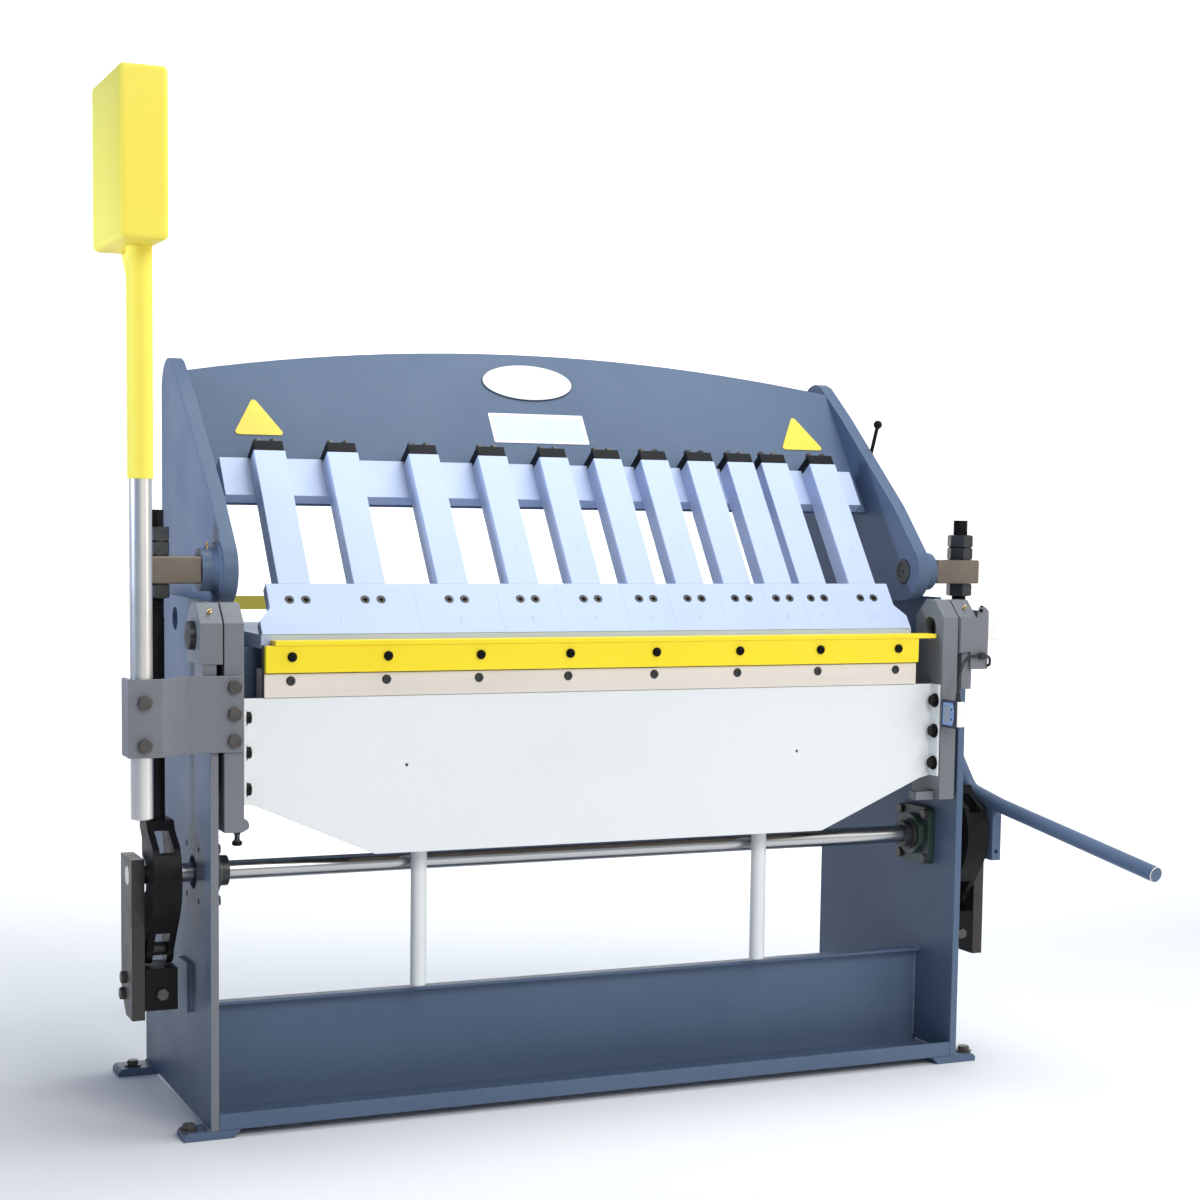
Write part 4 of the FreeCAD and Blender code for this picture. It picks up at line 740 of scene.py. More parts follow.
def hexBoltTree():
    tree, given = newTree("hexBolts", {
        "Across flats": 0.02, "Head height": 0.009, "Shank radius": 0.006, "Shank length": 0.02,
        "Washer radius": 0.013, "Washer height": 0.002, "Nut distance": 0.0,
    })
    head = hexHead(tree, given["Across flats"], given["Head height"])
    nut = lifted(tree, head, maths(tree, "MULTIPLY", given["Nut distance"], -1), flipped=True)
    wanted = maths(tree, "GREATER_THAN", given["Nut distance"], 0.0)
    nut = placeNode(tree, "GeometryNodeSwitch", {"Switch": wanted, "True": nut}, input_type="GEOMETRY")
    setOut(tree, given, [head] + shankAndWasher(tree, given) + [nut.outputs[0]])
    return tree


def socketScrewTree():
    tree, given = newTree("socketScrews", {
        "Head radius": 0.008, "Head height": 0.008, "Rim": 0.0008, "Socket across": 0.008,
        "Socket depth": 0.005, "Shank radius": 0.005, "Shank length": 0.02,
        "Washer radius": 0.004, "Washer height": 0.001,
    })
    high = maths(tree, "ADD", given["Head height"], coneSpare)
    body = standing(tree, 40, given["Head radius"], 0.0, high)
    rim = maths(tree, "SUBTRACT", given["Head radius"], given["Rim"])
    head = combined(tree, "INTERSECT", [body, chamferCone(tree, rim, given["Head height"], 1.0)])
    corner = maths(tree, "DIVIDE", given["Socket across"], math.sqrt(3))
    floor = maths(tree, "SUBTRACT", given["Head height"], given["Socket depth"])
    head = combined(tree, "DIFFERENCE", [standing(tree, 6, corner, floor, high)], head)
    setOut(tree, given, [head] + shankAndWasher(tree, given))
    return tree


def nutTree():
    tree, given = newTree("boredNuts", {"Across flats": 0.046, "Height": 0.0255, "Bore radius": 0.018})
    body = hexHead(tree, given["Across flats"], given["Height"], bothEnds=True)
    high = maths(tree, "ADD", given["Height"], coneSpare)
    bore = standing(tree, 40, given["Bore radius"], -coneSpare, high)
    setOut(tree, given, [combined(tree, "DIFFERENCE", [bore], body)])
    return tree


def weldBeadTree():
    tree, given = newTree("weldBeads", {"Bead radius": 0.0035, "Ripple": 0.003, "Swell": 0.16})
    line = placeNode(tree, "GeometryNodeMeshToCurve", {"Mesh": given["Places"]}).outputs[0]
    line = placeNode(tree, "GeometryNodeResampleCurve", {"Curve": line, "Length": given["Ripple"]},
                     mode="LENGTH").outputs[0]
    drop = placeNode(tree, "GeometryNodeMeshIcoSphere", {"Radius": given["Bead radius"], "Subdivisions": 2})
    tangent = placeNode(tree, "GeometryNodeInputTangent").outputs[0]
    turn = placeNode(tree, "FunctionNodeAlignRotationToVector", {"Vector": tangent}, axis="Z")
    size = randomValue(tree, maths(tree, "SUBTRACT", 1.0, given["Swell"]),
                       maths(tree, "ADD", 1.0, given["Swell"]), 11)
    flat = placeNode(tree, "ShaderNodeCombineXYZ", {"X": size, "Y": size, "Z": 0.62})
    beads = placeNode(tree, "GeometryNodeInstanceOnPoints",
                      {"Points": line, "Instance": drop.outputs["Mesh"],
                       "Rotation": turn.outputs[0], "Scale": flat.outputs[0]})
    finishTree(tree, given, beads.outputs[0])
    return tree


trees = {"hex": hexBoltTree(), "socket": socketScrewTree(), "nut": nutTree(), "bead": weldBeadTree()}


def built(tree, places, sizes, finish, facings=(), edges=()):
    mesh = bpy.data.meshes.new(tree.name)
    mesh.from_pydata([tuple(place) for place in places], list(edges), [])
    if facings:
        facing = mesh.attributes.new("facing", "FLOAT_VECTOR", "POINT")
        for item, vector in zip(facing.data, facings):
            item.vector = vector
    holder = newObject(tree.name, mesh)
    modifier = holder.modifiers.new("build", "NODES")
    modifier.node_group = tree
    for item in tree.interface.items_tree:
        if item.item_type == "SOCKET" and item.in_out == "INPUT":
            if item.name in sizes:
                modifier[item.identifier] = float(sizes[item.name])
            if item.name == "Finish":
                modifier[item.identifier] = finishes[finish]
    return appliedMesh(holder)


def midSpan(values):
    return (max(values) + min(values)) / 2


def fitted(group):
    # finds a group's solids in their node and sets a detailed bolt or screw on each
    places, facings = [], []
    for points in solidsOf(group["node"]):
        middle, size = middleOf(points)
        if not group["pick"](middle, size):
            continue
        outward = group["outward"](middle) if callable(group["outward"]) else group["outward"]
        side = outward.orthogonal().normalized()
        centre = sum((axis * midSpan([point.dot(axis) for point in points])
                      for axis in (side, outward.cross(side))), Vector())
        reach = [point.dot(outward) for point in points]
        base = max(reach) - group["sizes"]["Head height"]
        length = base - min(reach)
        places.append(centre + outward * base + group.get("shift", Vector()))
        facings.append(outward)
    sizes = {**group["sizes"], "Shank length": length}
    return built(trees[group["tree"]], places, sizes, group["finish"], facings)


leanAngle = math.radians(54.5)  # the fingers above the bed
leanUp = Vector((0, math.cos(leanAngle), math.sin(leanAngle)))
leanBack = Vector((0, math.sin(leanAngle), -math.cos(leanAngle)))
shoeTip = Vector((0, shoeBox[0][1], shoeBox[0][2]))


def hexBolt(node, outward, across, height, shank, washer=None, thick=0.001, **more):
    # the washer is the shank's size, and so can't be seen, unless it is given
    sizes = {"Across flats": across, "Head height": height, "Shank radius": shank,
             "Washer radius": washer or shank, "Washer height": thick, **more.pop("sizes", {})}
    return {"node": node, "tree": "hex", "finish": "bolt_steel", "outward": outward, "sizes": sizes,
            "pick": lambda middle, size: True, **more}


def socketScrew(node, outward, radius, height, across, depth, shank, washer=None, **more):
    sizes = {"Head radius": radius, "Head height": height, "Socket across": across, "Socket depth": depth,
             "Shank radius": shank, "Washer radius": washer or shank, **more.pop("sizes", {})}
    return {"node": node, "tree": "socket", "finish": "black_steel", "outward": outward, "sizes": sizes,
            "pick": lambda middle, size: True, **more}


rowLimits = {"shoes": 1.0, "clamps": 1.19, "yellowBar": 0.82}  # heights that part one row from the next
crankHead = {"across": 0.019, "height": 0.008, "shank": 0.006}
armHead = {"across": 0.022, "height": 0.009, "shank": 0.007}
boltGroups = [
    hexBolt("foot_bolts", upward, 0.020, 0.009, 0.007, 0.016, 0.003),
    hexBolt("bearing_bolts", towardsMiddle, 0.017, 0.007, 0.005),
    socketScrew("finger_screws", -leanBack, 0.0085, 0.008, 0.0085, 0.0055, 0.005, finish="bolt_steel",
                pick=lambda middle, size: middle.z < rowLimits["shoes"]),
    hexBolt("finger_screws", leanUp, 0.013, 0.0135, 0.0035, 0.0075, 0.0015,
            pick=lambda middle, size: middle.z > rowLimits["clamps"],
            shift=leanUp * 0.0065 - leanBack * 0.003),
    socketScrew("finger_screws", acrossAxis, 0.0095, 0.003, 0.006, 0.0015, 0.006,
                pick=lambda middle, size: rowLimits["shoes"] < middle.z < rowLimits["clamps"]),
    hexBolt("crank_bolts", fromMiddle, **crankHead, pick=lambda middle, size: size.x > size.y),
    hexBolt("crank_bolts", forward, **crankHead, pick=lambda middle, size: size.y > size.x),
    socketScrew("apron_bolts", forward, 0.0055, 0.006, 0.005, 0.003, 0.004, 0.0085,
                sizes={"Washer height": 0.0025},
                pick=lambda middle, size: middle.z > rowLimits["yellowBar"]),
    socketScrew("apron_bolts", forward, 0.0085, 0.003, 0.0062, 0.002, 0.004, finish="nut_steel",
                sizes={"Rim": 0.0024}, pick=lambda middle, size: middle.z < rowLimits["yellowBar"]),
    hexBolt("arm_bolts", towardsMiddle, 0.019, 0.008, 0.005, 0.014, 0.0025, finish="black_steel",
            pick=lambda middle, size: size.x > 0.03),
    hexBolt("arm_bolts", forward, **armHead, pick=lambda middle, size: size.x < 0.03 and middle.x > -0.8),
    hexBolt("arm_bolts", forward, **armHead, sizes={"Nut distance": 0.046},
            pick=lambda middle, size: middle.x < -0.8),
]
for nodeName in sorted({group["node"] for group in boltGroups}):
    meshes = [fitted(group) for group in boltGroups if group["node"] == nodeName]
    piece = nodeName + "Detailed"
    addPiece(piece, joined(piece, meshes), bodyOf[nodeName], slotOf[nodeName], [nodeName])
print("bolts and screws set:", len(boltGroups), "kinds")


# Finger shoes, cut back at the row's outer ends, with a counterbore for each screw
fingers = {
    "widths": (0.295, 0.160, 0.120, 0.135, 0.095, 0.110, 0.095, 0.085, 0.070, 0.155),
    "length": 0.1065,
    "thickness": 0.022,
    "seam": 0.00006,
    "edge": 0.0002,
    "shoulderIn": 0.022,
    "shoulderLow": 0.030,
    "shoulderHigh": 0.055,
    "boreRadius": 0.0087,
    "boreDepth": 0.0082,
    "boreSpare": 0.003,
}


def onLean(x, along, behind=0.0):
    return Vector((x, shoeTip.y, shoeTip.z)) + leanUp * along + leanBack * behind


def fingerEdges(values):
    left = -sum(values["widths"]) / 2
    for width in values["widths"]:
        yield left, left + width
        left += width


def shoeOutline(values, left, right):
    half = sum(values["widths"]) / 2
    low, high, top = values["shoulderLow"], values["shoulderHigh"], values["length"]
    shoulder = values["shoulderIn"]
    seam = values["seam"] / 2
    outline = [(left + seam, 0), (right - seam, 0)]
    if right > half - seam:
        outline += [(right, low), (right - shoulder, high), (right - shoulder, top)]
    else:
        outline.append((right - seam, top))
    if left < seam - half:
        outline += [(left + shoulder, top), (left + shoulder, high), (left, low)]
    else:
        outline.append((left + seam, top))
    return [onLean(x, along) for x, along in outline]


def makeShoes(values):
    shoes, cutters = [], []
    for left, right in fingerEdges(values):
        outline = shoeOutline(values, left, right)
        shape = shapeFrom(prismMesh("shoe", outline, leanBack * values["thickness"]))
        cutFlat(shape, shoeTip, -upward)
        bmesh.ops.recalc_face_normals(shape, faces=shape.faces)
        shoes.append(meshFrom("shoe", shape))
    for points in solidsOf("finger_screws"):
        middle = middleOf(points)[0]
        if middle.z < rowLimits["shoes"]:
            base = onLean(middle.x, (middle - shoeTip).dot(leanUp), -values["boreSpare"])
            depth = values["boreDepth"] + values["boreSpare"]
            cutters.append(boreMesh(base, leanBack, values["boreRadius"], depth, 36))
    for mesh in shoes + cutters:
        dressed(mesh, "finger_steel")
    shoes = carved(joined("shoes", shoes), joined("bores", cutters))
    addPiece("fingerShoesMade", beveled(shoes, values["edge"]), "beam", "finger_steel", ["finger_shoes"])


makeShoes(fingers)
print("finger shoes made")

# Faint finger numbers, on the shoes and smaller on the bars above them
fingerNumbers = {"shoeSize": 0.017, "shoeAlong": 0.024, "barSize": 0.011, "barAlong": 0.184,
                 "raised": 0.00012}


def numberMesh(number, size, place):
    curve = bpy.data.curves.new("number", "FONT")
    curve.body = str(number)
    curve.size = size
    curve.align_x = "CENTER"
    mesh = appliedMesh(newObject("number", curve))
    turn = Matrix((acrossAxis, leanUp, -leanBack)).transposed().to_4x4()
    mesh.transform(Matrix.Translation(place) @ turn)
    mesh.materials.clear()
    return dressed(mesh, "etched")


def makeNumbers(values):
    meshes = []
    edges = list(fingerEdges(fingers))
    for number, (left, right) in enumerate(edges):
        place = onLean((left + right) / 2, values["shoeAlong"], -values["raised"])
        meshes.append(numberMesh(number + 1, values["shoeSize"], place))
    for points in solidsOf("finger_bars"):
        x = middleOf(points)[0].x
        number = sum(1 for left, right in edges if right < x) + 1
        place = onLean(x, values["barAlong"], -values["raised"])
        meshes.append(numberMesh(number, values["barSize"], place))
    addPiece("fingerNumbers", joined("fingerNumbers", meshes), "beam", "finger_steel", smooth=0)


makeNumbers(fingerNumbers)
print("numbers set")

# Swivels: block, trunnion through the cheek, and three nuts on the tie rod
swivel = {
    "depth": 0.134, "z": 0.991, "halfDepth": 0.034, "height": 0.048, "rodX": 0.828, "boreRadius": 0.0183,
    "boreReach": 0.060, "edge": 0.0035,
    "trunnion": [(0.0035, 0.0015), (0.0015, 0.0035), (0.0015, 0.017), (0, 0.018), (0, 0.0235),
                 (0.0015, 0.025)],
    "trunnionRadius": 0.025, "trunnionInto": 0.002, "gap": 0.0005,
    "nuts": {"Across flats": 0.046, "Bore radius": 0.0183},
    "nutHeights": ((-0.050, 0.026), (0.024, 0.0255), (0.0495, 0.0255)),  # above the block's middle
}


def makeSwivel(nodeName, side, values):
    low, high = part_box(nodeName)
    inner, outer = sorted((abs(low.x), abs(high.x)))
    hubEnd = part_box("cheek_right")[1].x + values["gap"]
    middle = at(0, values["depth"], values["z"])
    reach = Vector((0, values["halfDepth"], values["height"] / 2))
    ends = [middle + acrossAxis * x for x in sorted((side * hubEnd, side * outer))]
    block = dressed(boxMesh("block", ends[0] - reach, ends[1] + reach), "dark_steel")
    rod = middle + acrossAxis * side * values["rodX"]
    start = rod - upward * values["boreReach"]
    bore = boreMesh(start, upward, values["boreRadius"], 2 * values["boreReach"], 40)
    profile = values["trunnion"] + [(hubEnd - inner + values["trunnionInto"], values["trunnionRadius"])]
    start = middle + acrossAxis * side * inner
    trunnion = dressed(turnedMesh("trunnion", start, acrossAxis * side, profile, 48), "nut_steel")
    meshes = [carved(beveled(block, values["edge"], 3), dressed(bore, "dark_steel")), trunnion]
    for offset, height in values["nutHeights"]:
        sizes = {**values["nuts"], "Height": height}
        meshes.append(built(trees["nut"], [rod + upward * offset], sizes, "nut_steel", [upward]))
    piece = nodeName + "Made"
    addPiece(piece, joined(piece, meshes), bodyOf[nodeName], "dark_steel", [nodeName])


makeSwivel("swivel_left", -1, swivel)
makeSwivel("swivel_right", 1, swivel)

# Tie rods, with a thread on the rod's upper end
rodThread = {"from": 0.905, "to": 1.0985, "radius": 0.0150, "pitch": 0.003, "depth": 0.0011,
             "overlap": 0.001, "rodEdge": 0.0014}


def makeThread(nodeName, x, values):
    # fine ridges up the rod, as one turned shape
    profile = []
    pitch, radius = values["pitch"], values["radius"]
    for turn in range(int((values["to"] - values["from"]) / pitch)):
        profile += [(turn * pitch, radius - values["depth"]), (turn * pitch + pitch / 2, radius)]
    mesh = turnedMesh("thread", at(x, swivel["depth"], values["from"]), upward, profile, 28)
    addPiece(nodeName + "Thread", dressed(mesh, "black_steel"), bodyOf[nodeName], "black_steel", smooth=0)


def shortenRod(mesh):
    # the plain rod ends where its thread starts
    shape = shapeFrom(mesh)
    cutFlat(shape, (0, 0, rodThread["from"] + rodThread["overlap"]), upward)
    shape.to_mesh(mesh)
    shape.free()


for nodeName, x in (("tie_rod_left", -swivel["rodX"]), ("tie_rod_right", swivel["rodX"])):
    softened(nodeName, rodThread["rodEdge"], shortenRod)
    makeThread(nodeName, x, rodThread)
print("swivels and tie rods made")

# Back plate: raised oval badge, name plate in its frame and two triangles, all bare
plates = {
    "ovalFrom": 1.33,  # only the oval lies above this height
    "tagWithin": 0.2,  # and of the rest only the name plate is this near the middle
    "ovalLayers": ((0, "dark_plastic", 0.0), (0.00175, "oval_white", 0.0012)),  # inset, finish, rise
    "tagLayers": ((0, "plate_white", 0.0003), (0.007, "plate_blue", 0.0006)),
    "ovalSteps": 72, "ovalEdge": 0.0005, "ovalLess": 0.0006, "ovalThick": 0.002, "ovalInto": 0.001,
    "tagRadius": 0.003, "tagThick": 0.001, "tagInto": 0.0005,
    "triangleRadius": 0.006, "triangleThick": 0.0012, "triangleInto": 0.0008, "cornerSteps": 6,
}


def ovalMesh(middle, wide, high, rise, values):
    outline = []
    for step in range(values["ovalSteps"]):
        angle = 2 * math.pi * step / values["ovalSteps"]
        outline.append(middle + acrossAxis * wide * math.cos(angle) + leanUp * high * math.sin(angle)
                       + leanBack * values["ovalInto"])
    depth = leanBack * -(values["ovalThick"] + rise)
    return beveled(prismMesh("oval", outline, depth), values["ovalEdge"])


def tagMesh(middle, wide, high, rise, values):
    outline = []
    radius = values["tagRadius"]
    for cornerX, cornerUp, start in ((1, 1, 0), (-1, 1, 90), (-1, -1, 180), (1, -1, 270)):
        for step in range(5):
            angle = math.radians(start + 22.5 * step)
            x = cornerX * (wide / 2 - radius) + radius * math.cos(angle)
            up = cornerUp * (high / 2 - radius) + radius * math.sin(angle)
            outline.append(middle + acrossAxis * x + leanUp * up + leanBack * values["tagInto"])
    return prismMesh("tag", outline, leanBack * -(values["tagThick"] + rise))


def roundedTriangle(corners, values):
    outline = []
    radius, steps = values["triangleRadius"], values["cornerSteps"]
    for index, corner in enumerate(corners):
        before = (corners[index - 1] - corner).normalized()
        after = (corners[(index + 1) % 3] - corner).normalized()
        half = before.angle(after) / 2
        centre = corner + (before + after).normalized() * radius / math.sin(half)
        start = corner + before * radius / math.tan(half) - centre
        end = corner + after * radius / math.tan(half) - centre
        for step in range(steps + 1):
            outline.append(centre + start.lerp(end, step / steps).normalized() * radius
                           + leanBack * values["triangleInto"])
    return prismMesh("triangle", outline, -leanBack * values["triangleThick"])


def makePlates(values):
    ovals, tags, triangles = [], [], []
    for points in solidsOf("nameplates"):
        middle, size = middleOf(points)
        tall = size.z / math.sin(leanAngle)
        if middle.z > values["ovalFrom"]:
            for inset, finish, rise in values["ovalLayers"]:
                high = tall / 2 - values["ovalLess"] - inset
                mesh = ovalMesh(middle, size.x / 2 - inset, high, rise, values)
                ovals.append(dressed(mesh, finish))
        elif abs(middle.x) < values["tagWithin"]:
            for inset, finish, rise in values["tagLayers"]:
                mesh = tagMesh(middle, size.x - 2 * inset, tall - 2 * inset, rise, values)
                tags.append(dressed(mesh, finish))
        else:
            front = sorted(points, key=lambda point: point.dot(leanBack))[:3]
            triangles.append(dressed(roundedTriangle(front, values), "yellow_label"))
    meshes = ovals + tags + triangles
    addPiece("backPlateTags", joined("backPlateTags", meshes), "beam", "plate_white", ["nameplates"])


makePlates(plates)
print("badge, name plate and triangles set")

# Display: bezel, pale panel, grey screen, ringed keys, housing and the cable's boot
display = {
    "panel": {"rear": 0.006, "front": 0.0055, "low": 0.006, "high": 0.0055, "thick": 0.0004,
              "bulge": 0.0049, "steps": 8},
    "screen": {"rear": 0.013, "front": 0.030, "low": 0.011, "high": 0.010, "thick": 0.0009, "edge": 0.0004},
    "boreRadius": 0.0042, "boreDepth": 0.010, "boreSpare": 0.002, "ringRadius": 0.0056, "ringInner": 0.0043,
    "edge": 0.0025,
    "keyRim": ((-0.0008, 0), (-0.0002, -0.0006), (0, -0.0016)),  # from the key's front and from its radius
    "boot": {"rings": 3, "first": 0.006, "step": 0.004, "taper": 0.0003, "top": 0.0036,
             "ring": ((0, 0.0052), (0.002, 0.0052), (0.0025, 0.0044))},
}
keys = {name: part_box(name) for name in ("display_button_1", "display_button_2", "display_button_3")}
paleKey = "display_button_2"


def keyBore(low, high, depth):
    start = Vector((low.x, (low.y + high.y) / 2, (low.z + high.z) / 2)) - acrossAxis * display["boreSpare"]
    return boreMesh(start, acrossAxis, display["boreRadius"], depth)


def bootMesh(middle, size, values):
    radius = size.x / 2
    profile = [(0, radius), (0.004, radius), (0.005, radius - 0.001)]
    for number in range(values["rings"]):
        height = values["first"] + values["step"] * number
        profile += [(height + rise, wide - values["taper"] * number) for rise, wide in values["ring"]]
    profile.append((size.z, values["top"]))
    return turnedMesh("boot", middle - upward * size.z / 2, upward, profile, 28)


def panelMesh(low, high, face, values):
    rear, front = high.y - values["rear"], low.y + values["front"]
    bottom, top = low.z + values["low"], high.z - values["high"]
    outline = [Vector((face, rear, bottom)), Vector((face, rear, top))]
    for step in range(values["steps"] + 1):  # the panel's front edge bulges round the keys
        share = step / values["steps"]
        bulge = values["bulge"] * (1 - math.sin(math.pi * share))
        outline.append(Vector((face, front + bulge, top + (bottom - top) * share)))
    return prismMesh("panel", outline, (-values["thick"], 0, 0))


def ringMesh(face, centre, outer, inner):
    profile = [(0, outer), (0.0007, outer), (0.001, outer - 0.0004)]
    ring = turnedMesh("ring", (face, centre.y, centre.z), -acrossAxis, profile, 36)
    return ring, boreMesh((face + 0.001, centre.y, centre.z), -acrossAxis, inner, 0.004, 36)


def makeDisplay(values):
    solids = sorted((middleOf(points) for points in solidsOf("display_panel")), key=lambda item: item[1].z)
    boot, (middle, size) = solids
    low, high = middle - size / 2, middle + size / 2
    bores = [dressed(keyBore(Vector((low.x, *box[0].yz)), box[1], values["boreDepth"]), "dark_plastic")
             for box in keys.values()]
    bezel = dressed(boxMesh("bezel", low, high), "dark_plastic")
    bezel = carved(beveled(bezel, values["edge"], 4), joined("bores", bores))
    panel = dressed(panelMesh(low, high, low.x, values["panel"]), "panel_blue")
    screen = values["screen"]
    glass = boxMesh("screen", (low.x - screen["thick"], high.y - screen["front"], low.z + screen["low"]),
                    (low.x, high.y - screen["rear"], high.z - screen["high"]))
    meshes = [bezel, dressed(bootMesh(*boot, values["boot"]), "cable_rubber"),
              carved(panel, joined("bores", bores)), beveled(dressed(glass, "screen_grey"), screen["edge"])]
    for name, (keyLow, keyHigh) in keys.items():
        parts = ringMesh(low.x, (keyLow + keyHigh) / 2, values["ringRadius"], values["ringInner"])
        finish = "panel_blue" if name == paleKey else "ring_white"
        meshes.append(carved(*(dressed(mesh, finish) for mesh in parts)))
    addPiece("displayFront", joined("displayFront", meshes), "apron", "dark_plastic", ["display_panel"])


def makeKeys(values):
    # domed keys in place of the frame's plain ones
    for name, (low, high) in keys.items():
        radius, deep = (high.z - low.z) / 2, high.x - low.x
        profile = [(0, radius)] + [(deep + back, radius + inwards) for back, inwards in values["keyRim"]]
        centre = (low + high) / 2
        mesh = turnedMesh(name, (high.x, centre.y, centre.z), -acrossAxis, profile, 32)
        dressed(mesh, "panel_blue" if name == paleKey else "button_plastic")
        addPiece("displayKey" + name[-1], mesh, bodyOf[name], "button_plastic", [name])


makeDisplay(display)
makeKeys(display)

housing = {"edge": 0.003, "seamAt": 0.62, "seamWidth": 0.0006, "seamDepth": 0.0005, "bandReach": 0.002,
           "coreReach": 0.004, "coreEdge": 0.0024, "keyBoreMore": 0.0025, "pinRadius": 0.00505,
           "pinDepth": 0.020, "pinSpare": 0.002}


def makeHousing(nodeName, values, bores):
    # a moulded box with rounded edges and a fine parting line round it
    low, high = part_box(nodeName)
    seam = low.x + (high.x - low.x) * values["seamAt"]
    deep, past = values["seamDepth"], values["bandReach"]
    half, reach = values["seamWidth"] / 2, values["coreReach"]
    core = boxMesh("core", (seam - reach, low.y + deep, low.z + deep),
                   (seam + reach, high.y - deep, high.z - deep))
    band = boxMesh("band", (seam - half, low.y - past, low.z - past),
                   (seam + half, high.y + past, high.z + past))
    mesh = dressed(beveled(boxMesh(nodeName, low, high), values["edge"], 4), "white_plastic")
    for cutter in [carved(band, beveled(core, values["coreEdge"], 3))] + bores:
        mesh = carved(mesh, cutter)
    addPiece(nodeName + "Moulded", mesh, bodyOf[nodeName], "white_plastic", [nodeName])


keyBores = [keyBore(low, high, high.x - low.x + housing["keyBoreMore"]) for low, high in keys.values()]
makeHousing("display_housing", housing, keyBores)
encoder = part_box("encoder_box")
encoderMiddle = (encoder[0] + encoder[1]) / 2
pinStart = (encoder[0].x - housing["pinSpare"], encoderMiddle.y, encoderMiddle.z)
pinBore = boreMesh(pinStart, acrossAxis, housing["pinRadius"], housing["pinDepth"])
makeHousing("encoder_box", housing, [pinBore])
print("display and sensor boxes made")

# Cable from the display up to the sensor plate
cable = {
    "radius": 0.003,
    "points": [
        (0.718, -0.1245, 0.757),
        (0.718, -0.1245, 0.775),
        (0.723, -0.1215, 0.795),
        (0.733, -0.1145, 0.812),
        (0.747, -0.1035, 0.822),
        (0.764, -0.0965, 0.827),
        (0.781, -0.0965, 0.827),
    ],
    "curveShare": 0.985,  # the curve's length beside that of its control points
}


def rubberCurve(name, points, radius):
    curve = bpy.data.curves.new(name, "CURVE")
    curve.dimensions = "3D"
    spline = curve.splines.new("NURBS")
    spline.points.add(len(points) - 1)
    for point, place in zip(spline.points, points):
        point.co = (*place, 1)
    spline.order_u = 3
    spline.use_endpoint_u = True
    spline.resolution_u = 12
    curve.bevel_depth = radius
    curve.bevel_resolution = 5
    curve.use_fill_caps = True
    return newObject(name, dressed(curve, "cable_rubber"))


def makeCable(values):
    places = [Vector(place) for place in values["points"]]
    piece = rubberCurve("displayCable", places, values["radius"])
    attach(piece, "apron")
    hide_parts("display_cable")
    runs = sum((second - first).length for first, second in zip(places, places[1:]))
    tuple(values["points"][0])


makeCable(cable)

# Sensor plate: three small screws, the cable's gland and the rubber arch that leads it into the plate
sensor = {
    "glandFrom": 0.012,  # only the gland is wider than this
    "screw": {"Head radius": 0.0035, "Head height": 0.003, "Rim": 0.0005, "Socket across": 0.0035,
              "Socket depth": 0.0016, "Shank radius": 0.002, "Washer radius": 0.002, "Shank length": 0.0001},
    "archRadius": 0.0028,
    "archSteps": ((-0.002, 0), (0.007, 0), (0.0125, -0.004), (0.0135, -0.012), (0.0125, -0.019)),
}


def glandMesh(middle, size):
    radius, length = size.z / 2, size.x
    profile = [(0, 0.0042), (0.0005, 0.0048), (0.003, radius - 0.001), (0.004, radius),
               (length - 0.0008, radius), (length, radius - 0.0008)]
    return turnedMesh("gland", middle - acrossAxis * length / 2, acrossAxis, profile, 32)


def archMesh(start, plateFace, values):
    path = [start + Vector((x, 0, z)) for x, z in values["archSteps"]]
    path.append(path[-1] + Vector((0, plateFace - start.y + 0.001, -0.001)))
    return appliedMesh(rubberCurve("arch", path, values["archRadius"]))


def makeSensorFittings(values):
    meshes = []
    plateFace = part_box("sensor_bracket")[0].y
    for points in solidsOf("sensor_fittings"):
        middle, size = middleOf(points)
        if size.x > values["glandFrom"]:
            meshes.append(dressed(glandMesh(middle, size), "cable_rubber"))
            meshes.append(archMesh(middle + acrossAxis * size.x / 2, plateFace, values))
            continue
        axis = min(range(3), key=lambda index: size[index])
        outward = Vector((0, 0, 0))
        outward[axis] = -1 if axis == 1 else 1
        base = middle + outward * (size[axis] / 2 - values["screw"]["Head height"])
        meshes.append(built(trees["socket"], [base], values["screw"], "black_steel", [outward]))
    piece = "sensorFittingsMade"
    addPiece(piece, joined(piece, meshes), "root", "black_steel", ["sensor_fittings"])


makeSensorFittings(sensor)
print("cable and sensor fittings made")

# Clamping handle: painted bar, with a painted highlight in bare steel round the rim of its cut end
handleEnd = {"within": 0.03, "rimFrom": 0.2, "rimTo": 0.97, "edge": 0.0012}


def wornEnd(mesh):
    # the rim's bevel faces in bare steel are a painted highlight
    dressed(mesh, "frame_paint", "bar_steel")
    front = min(vert.co.y for vert in mesh.vertices)
    near = [polygon for polygon in mesh.polygons if polygon.center.y < front + handleEnd["within"]]
    cap = max(near, key=lambda polygon: len(polygon.vertices)).normal.copy()
    for polygon in near:
        if handleEnd["rimFrom"] < polygon.normal.dot(cap) < handleEnd["rimTo"]:
            polygon.material_index = 1


softened("clamp_handle", handleEnd["edge"], wornEnd)


# Stops under the arms: a waisted black knob and a small boss on the left, a painted lug on the right
stops = {
    "knob": [(0, 0.0062), (0.0012, 0.0082), (0.0045, 0.0094), (0.0078, 0.0082), (0.0100, 0.0054),
             (0.0125, 0.0046), (0.0180, 0.0046), (0.0215, 0.0058), (0.0256, 0.0088), (0.0256, 0.0050)],
    "knobTop": 0.0050,
    "boss": [(0, 0), (0.0098, 0.0055), (0.0106, 0.0120), (0.0085, 0.0180), (0.0050, 0.0215), (0, 0.0235)],
    "bossFrom": 0.006,
    "bossDeep": 0.016,
    "bossEdge": 0.0012,
    "edge": 0.0010,
}


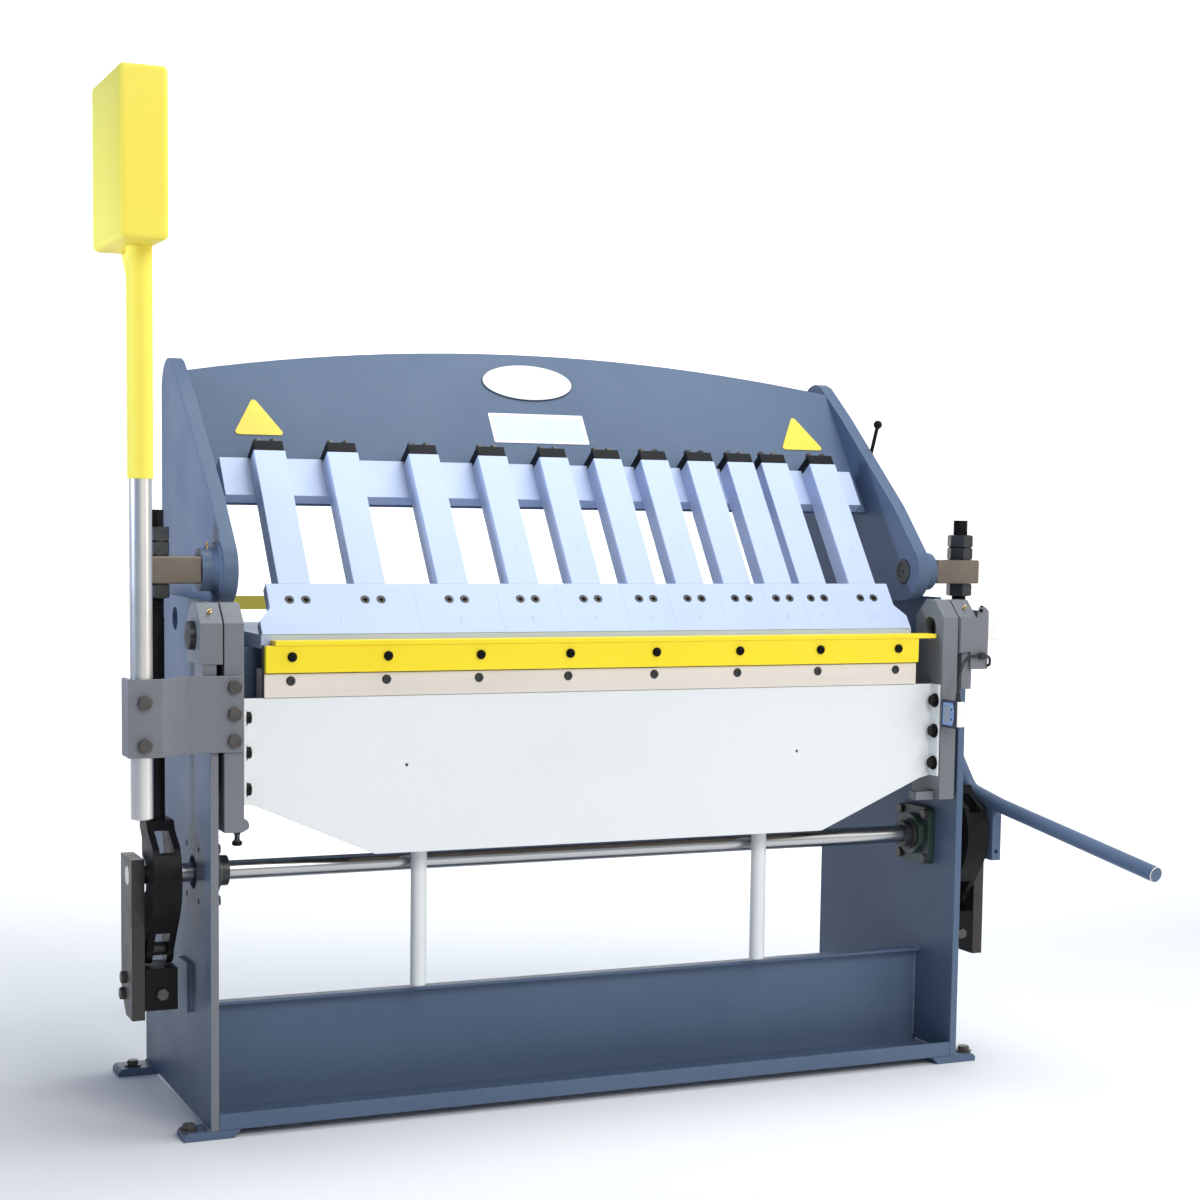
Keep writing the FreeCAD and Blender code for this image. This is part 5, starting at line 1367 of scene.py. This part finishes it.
def makeStops(values):
    armLow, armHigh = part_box("arm_left")
    middle, size = min((middleOf(points) for points in solidsOf("arm_stops")), key=lambda item: item[0].x)
    profile = values["knob"] + [(size.z, values["knobTop"])]
    knob = turnedMesh("knob", middle - upward * size.z / 2, upward, profile, 36)
    corner = Vector((armHigh.x, armLow.y + values["bossFrom"], armLow.z))
    outline = [corner + Vector((x, 0, z)) for x, z in values["boss"]]
    boss = beveled(prismMesh("boss", outline, -forward * values["bossDeep"]), values["bossEdge"], 3)

    def dress(mesh):
        # keeps the right lug only, and adds the left side's two parts
        # the boss takes the arms' lighter copy of the frame paint, painted light
        dressed(mesh, "frame_paint", "black_steel", "arm_paint")
        shape = shapeFrom(mesh)
        bmesh.ops.delete(shape, geom=[vert for vert in shape.verts if vert.co.x < 0], context="VERTS")
        for index, added in ((1, knob), (2, boss)):
            first = len(shape.faces)
            shape.from_mesh(added)
            shape.faces.ensure_lookup_table()
            for face in shape.faces[first:]:
                face.material_index = index
        shape.to_mesh(mesh)
        shape.free()

    softened("arm_stops", values["edge"], dress)


makeStops(stops)

# Pads on the outer faces of the side plates, held by weld beads
plateInner, plateOuter = abs(leftPlate[1].x), abs(leftPlate[0].x)
pads = {"thick": 0.009, "depth": (0.143, 0.215), "z": (0.196, 0.286), "edge": 0.0014}


def makePads(values):
    meshes = []
    for side in (-1, 1):
        left, right = sorted((side * plateOuter, side * (plateOuter + values["thick"])))
        low, high = (at(x, values["depth"][end], values["z"][end]) for end, x in enumerate((left, right)))
        meshes.append(dressed(beveled(boxMesh("pad", low, high), values["edge"], 3), "frame_paint"))
    addPiece("platePads", joined("platePads", meshes), "root", "frame_paint")


makePads(pads)

# Weld beads where the welded plates meet, the same on both sides
beads = {"Bead radius": 0.0032, "Ripple": 0.0024, "Swell": 0.16}
footTop, baseTop = leftPlate[0].z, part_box("base_member")[1].z
baseWebFace, baseRear, bedWebFace = 0.141, 0.147, 0.106
hubRing = {"x": 0.721, "depth": 0.134, "z": 0.991, "radius": 0.0485, "steps": 40}
gussetRuns = {"middle": 0.0115, "offset": 0.0075, "depth": (0.095, 0.186)}  # on the right lever's arm


def ringPlaces(values):
    for step in range(values["steps"] + 1):
        angle = 2 * math.pi * step / values["steps"]
        yield (values["x"], values["depth"] + values["radius"] * math.cos(angle),
               values["z"] + values["radius"] * math.sin(angle))


straightRuns = [  # x, depth at both ends, z at both ends
    (plateOuter, (0.004, 0.053), (footTop, footTop)),
    (plateOuter, (0.484, 0.536), (footTop, footTop)),
    (plateInner, (0.160, 0.210), (footTop, footTop)),
    (plateInner, (0.484, 0.536), (footTop, footTop)),
    (plateOuter, (0.141, 0.141), (0.199, 0.283)),
    (plateInner, (baseWebFace, baseWebFace), (0.030, baseTop - 0.008)),
    (plateInner, (baseWebFace - 0.014, baseRear), (baseTop, baseTop)),
    (plateInner, (0.010, 0.130), (0.021, 0.021)),
    (plateInner, (bedWebFace, bedWebFace), (0.615, 0.665)),
    (plateInner, (bedWebFace, bedWebFace), (0.720, 0.770)),
    (plateInner, (bedWebFace, bedWebFace), (0.800, 0.845)),
]
weldRuns = {
    "root": [[(x, depths[end], heights[end]) for end in (0, 1)] for x, depths, heights in straightRuns],
    "beam": [list(ringPlaces(hubRing))],
}


def makeWelds(runs, gusset):
    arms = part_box("crank_arms")
    paths = {body: [[at(side * x, depth, z) for x, depth, z in line] for line in lines for side in (-1, 1)]
             for body, lines in runs.items()}
    paths["clamp_shaft"] = [
        [at(arms[1].x - gusset["middle"] + side * gusset["offset"], depth, arms[1].z)
         for depth in gusset["depth"]] for side in (-1, 1)]
    for body, lines in paths.items():
        places, edges = [], []
        for line in lines:
            edges += [(len(places) + step, len(places) + step + 1) for step in range(len(line) - 1)]
            places += line
        # the beads take the lighter copy of the frame paint, a painted highlight
        mesh = built(trees["bead"], places, beads, "weld_paint", edges=edges)
        addPiece(body + "Welds", mesh, body, "frame_paint", smooth=60)


makeWelds(weldRuns, gussetRuns)
print("welds laid")
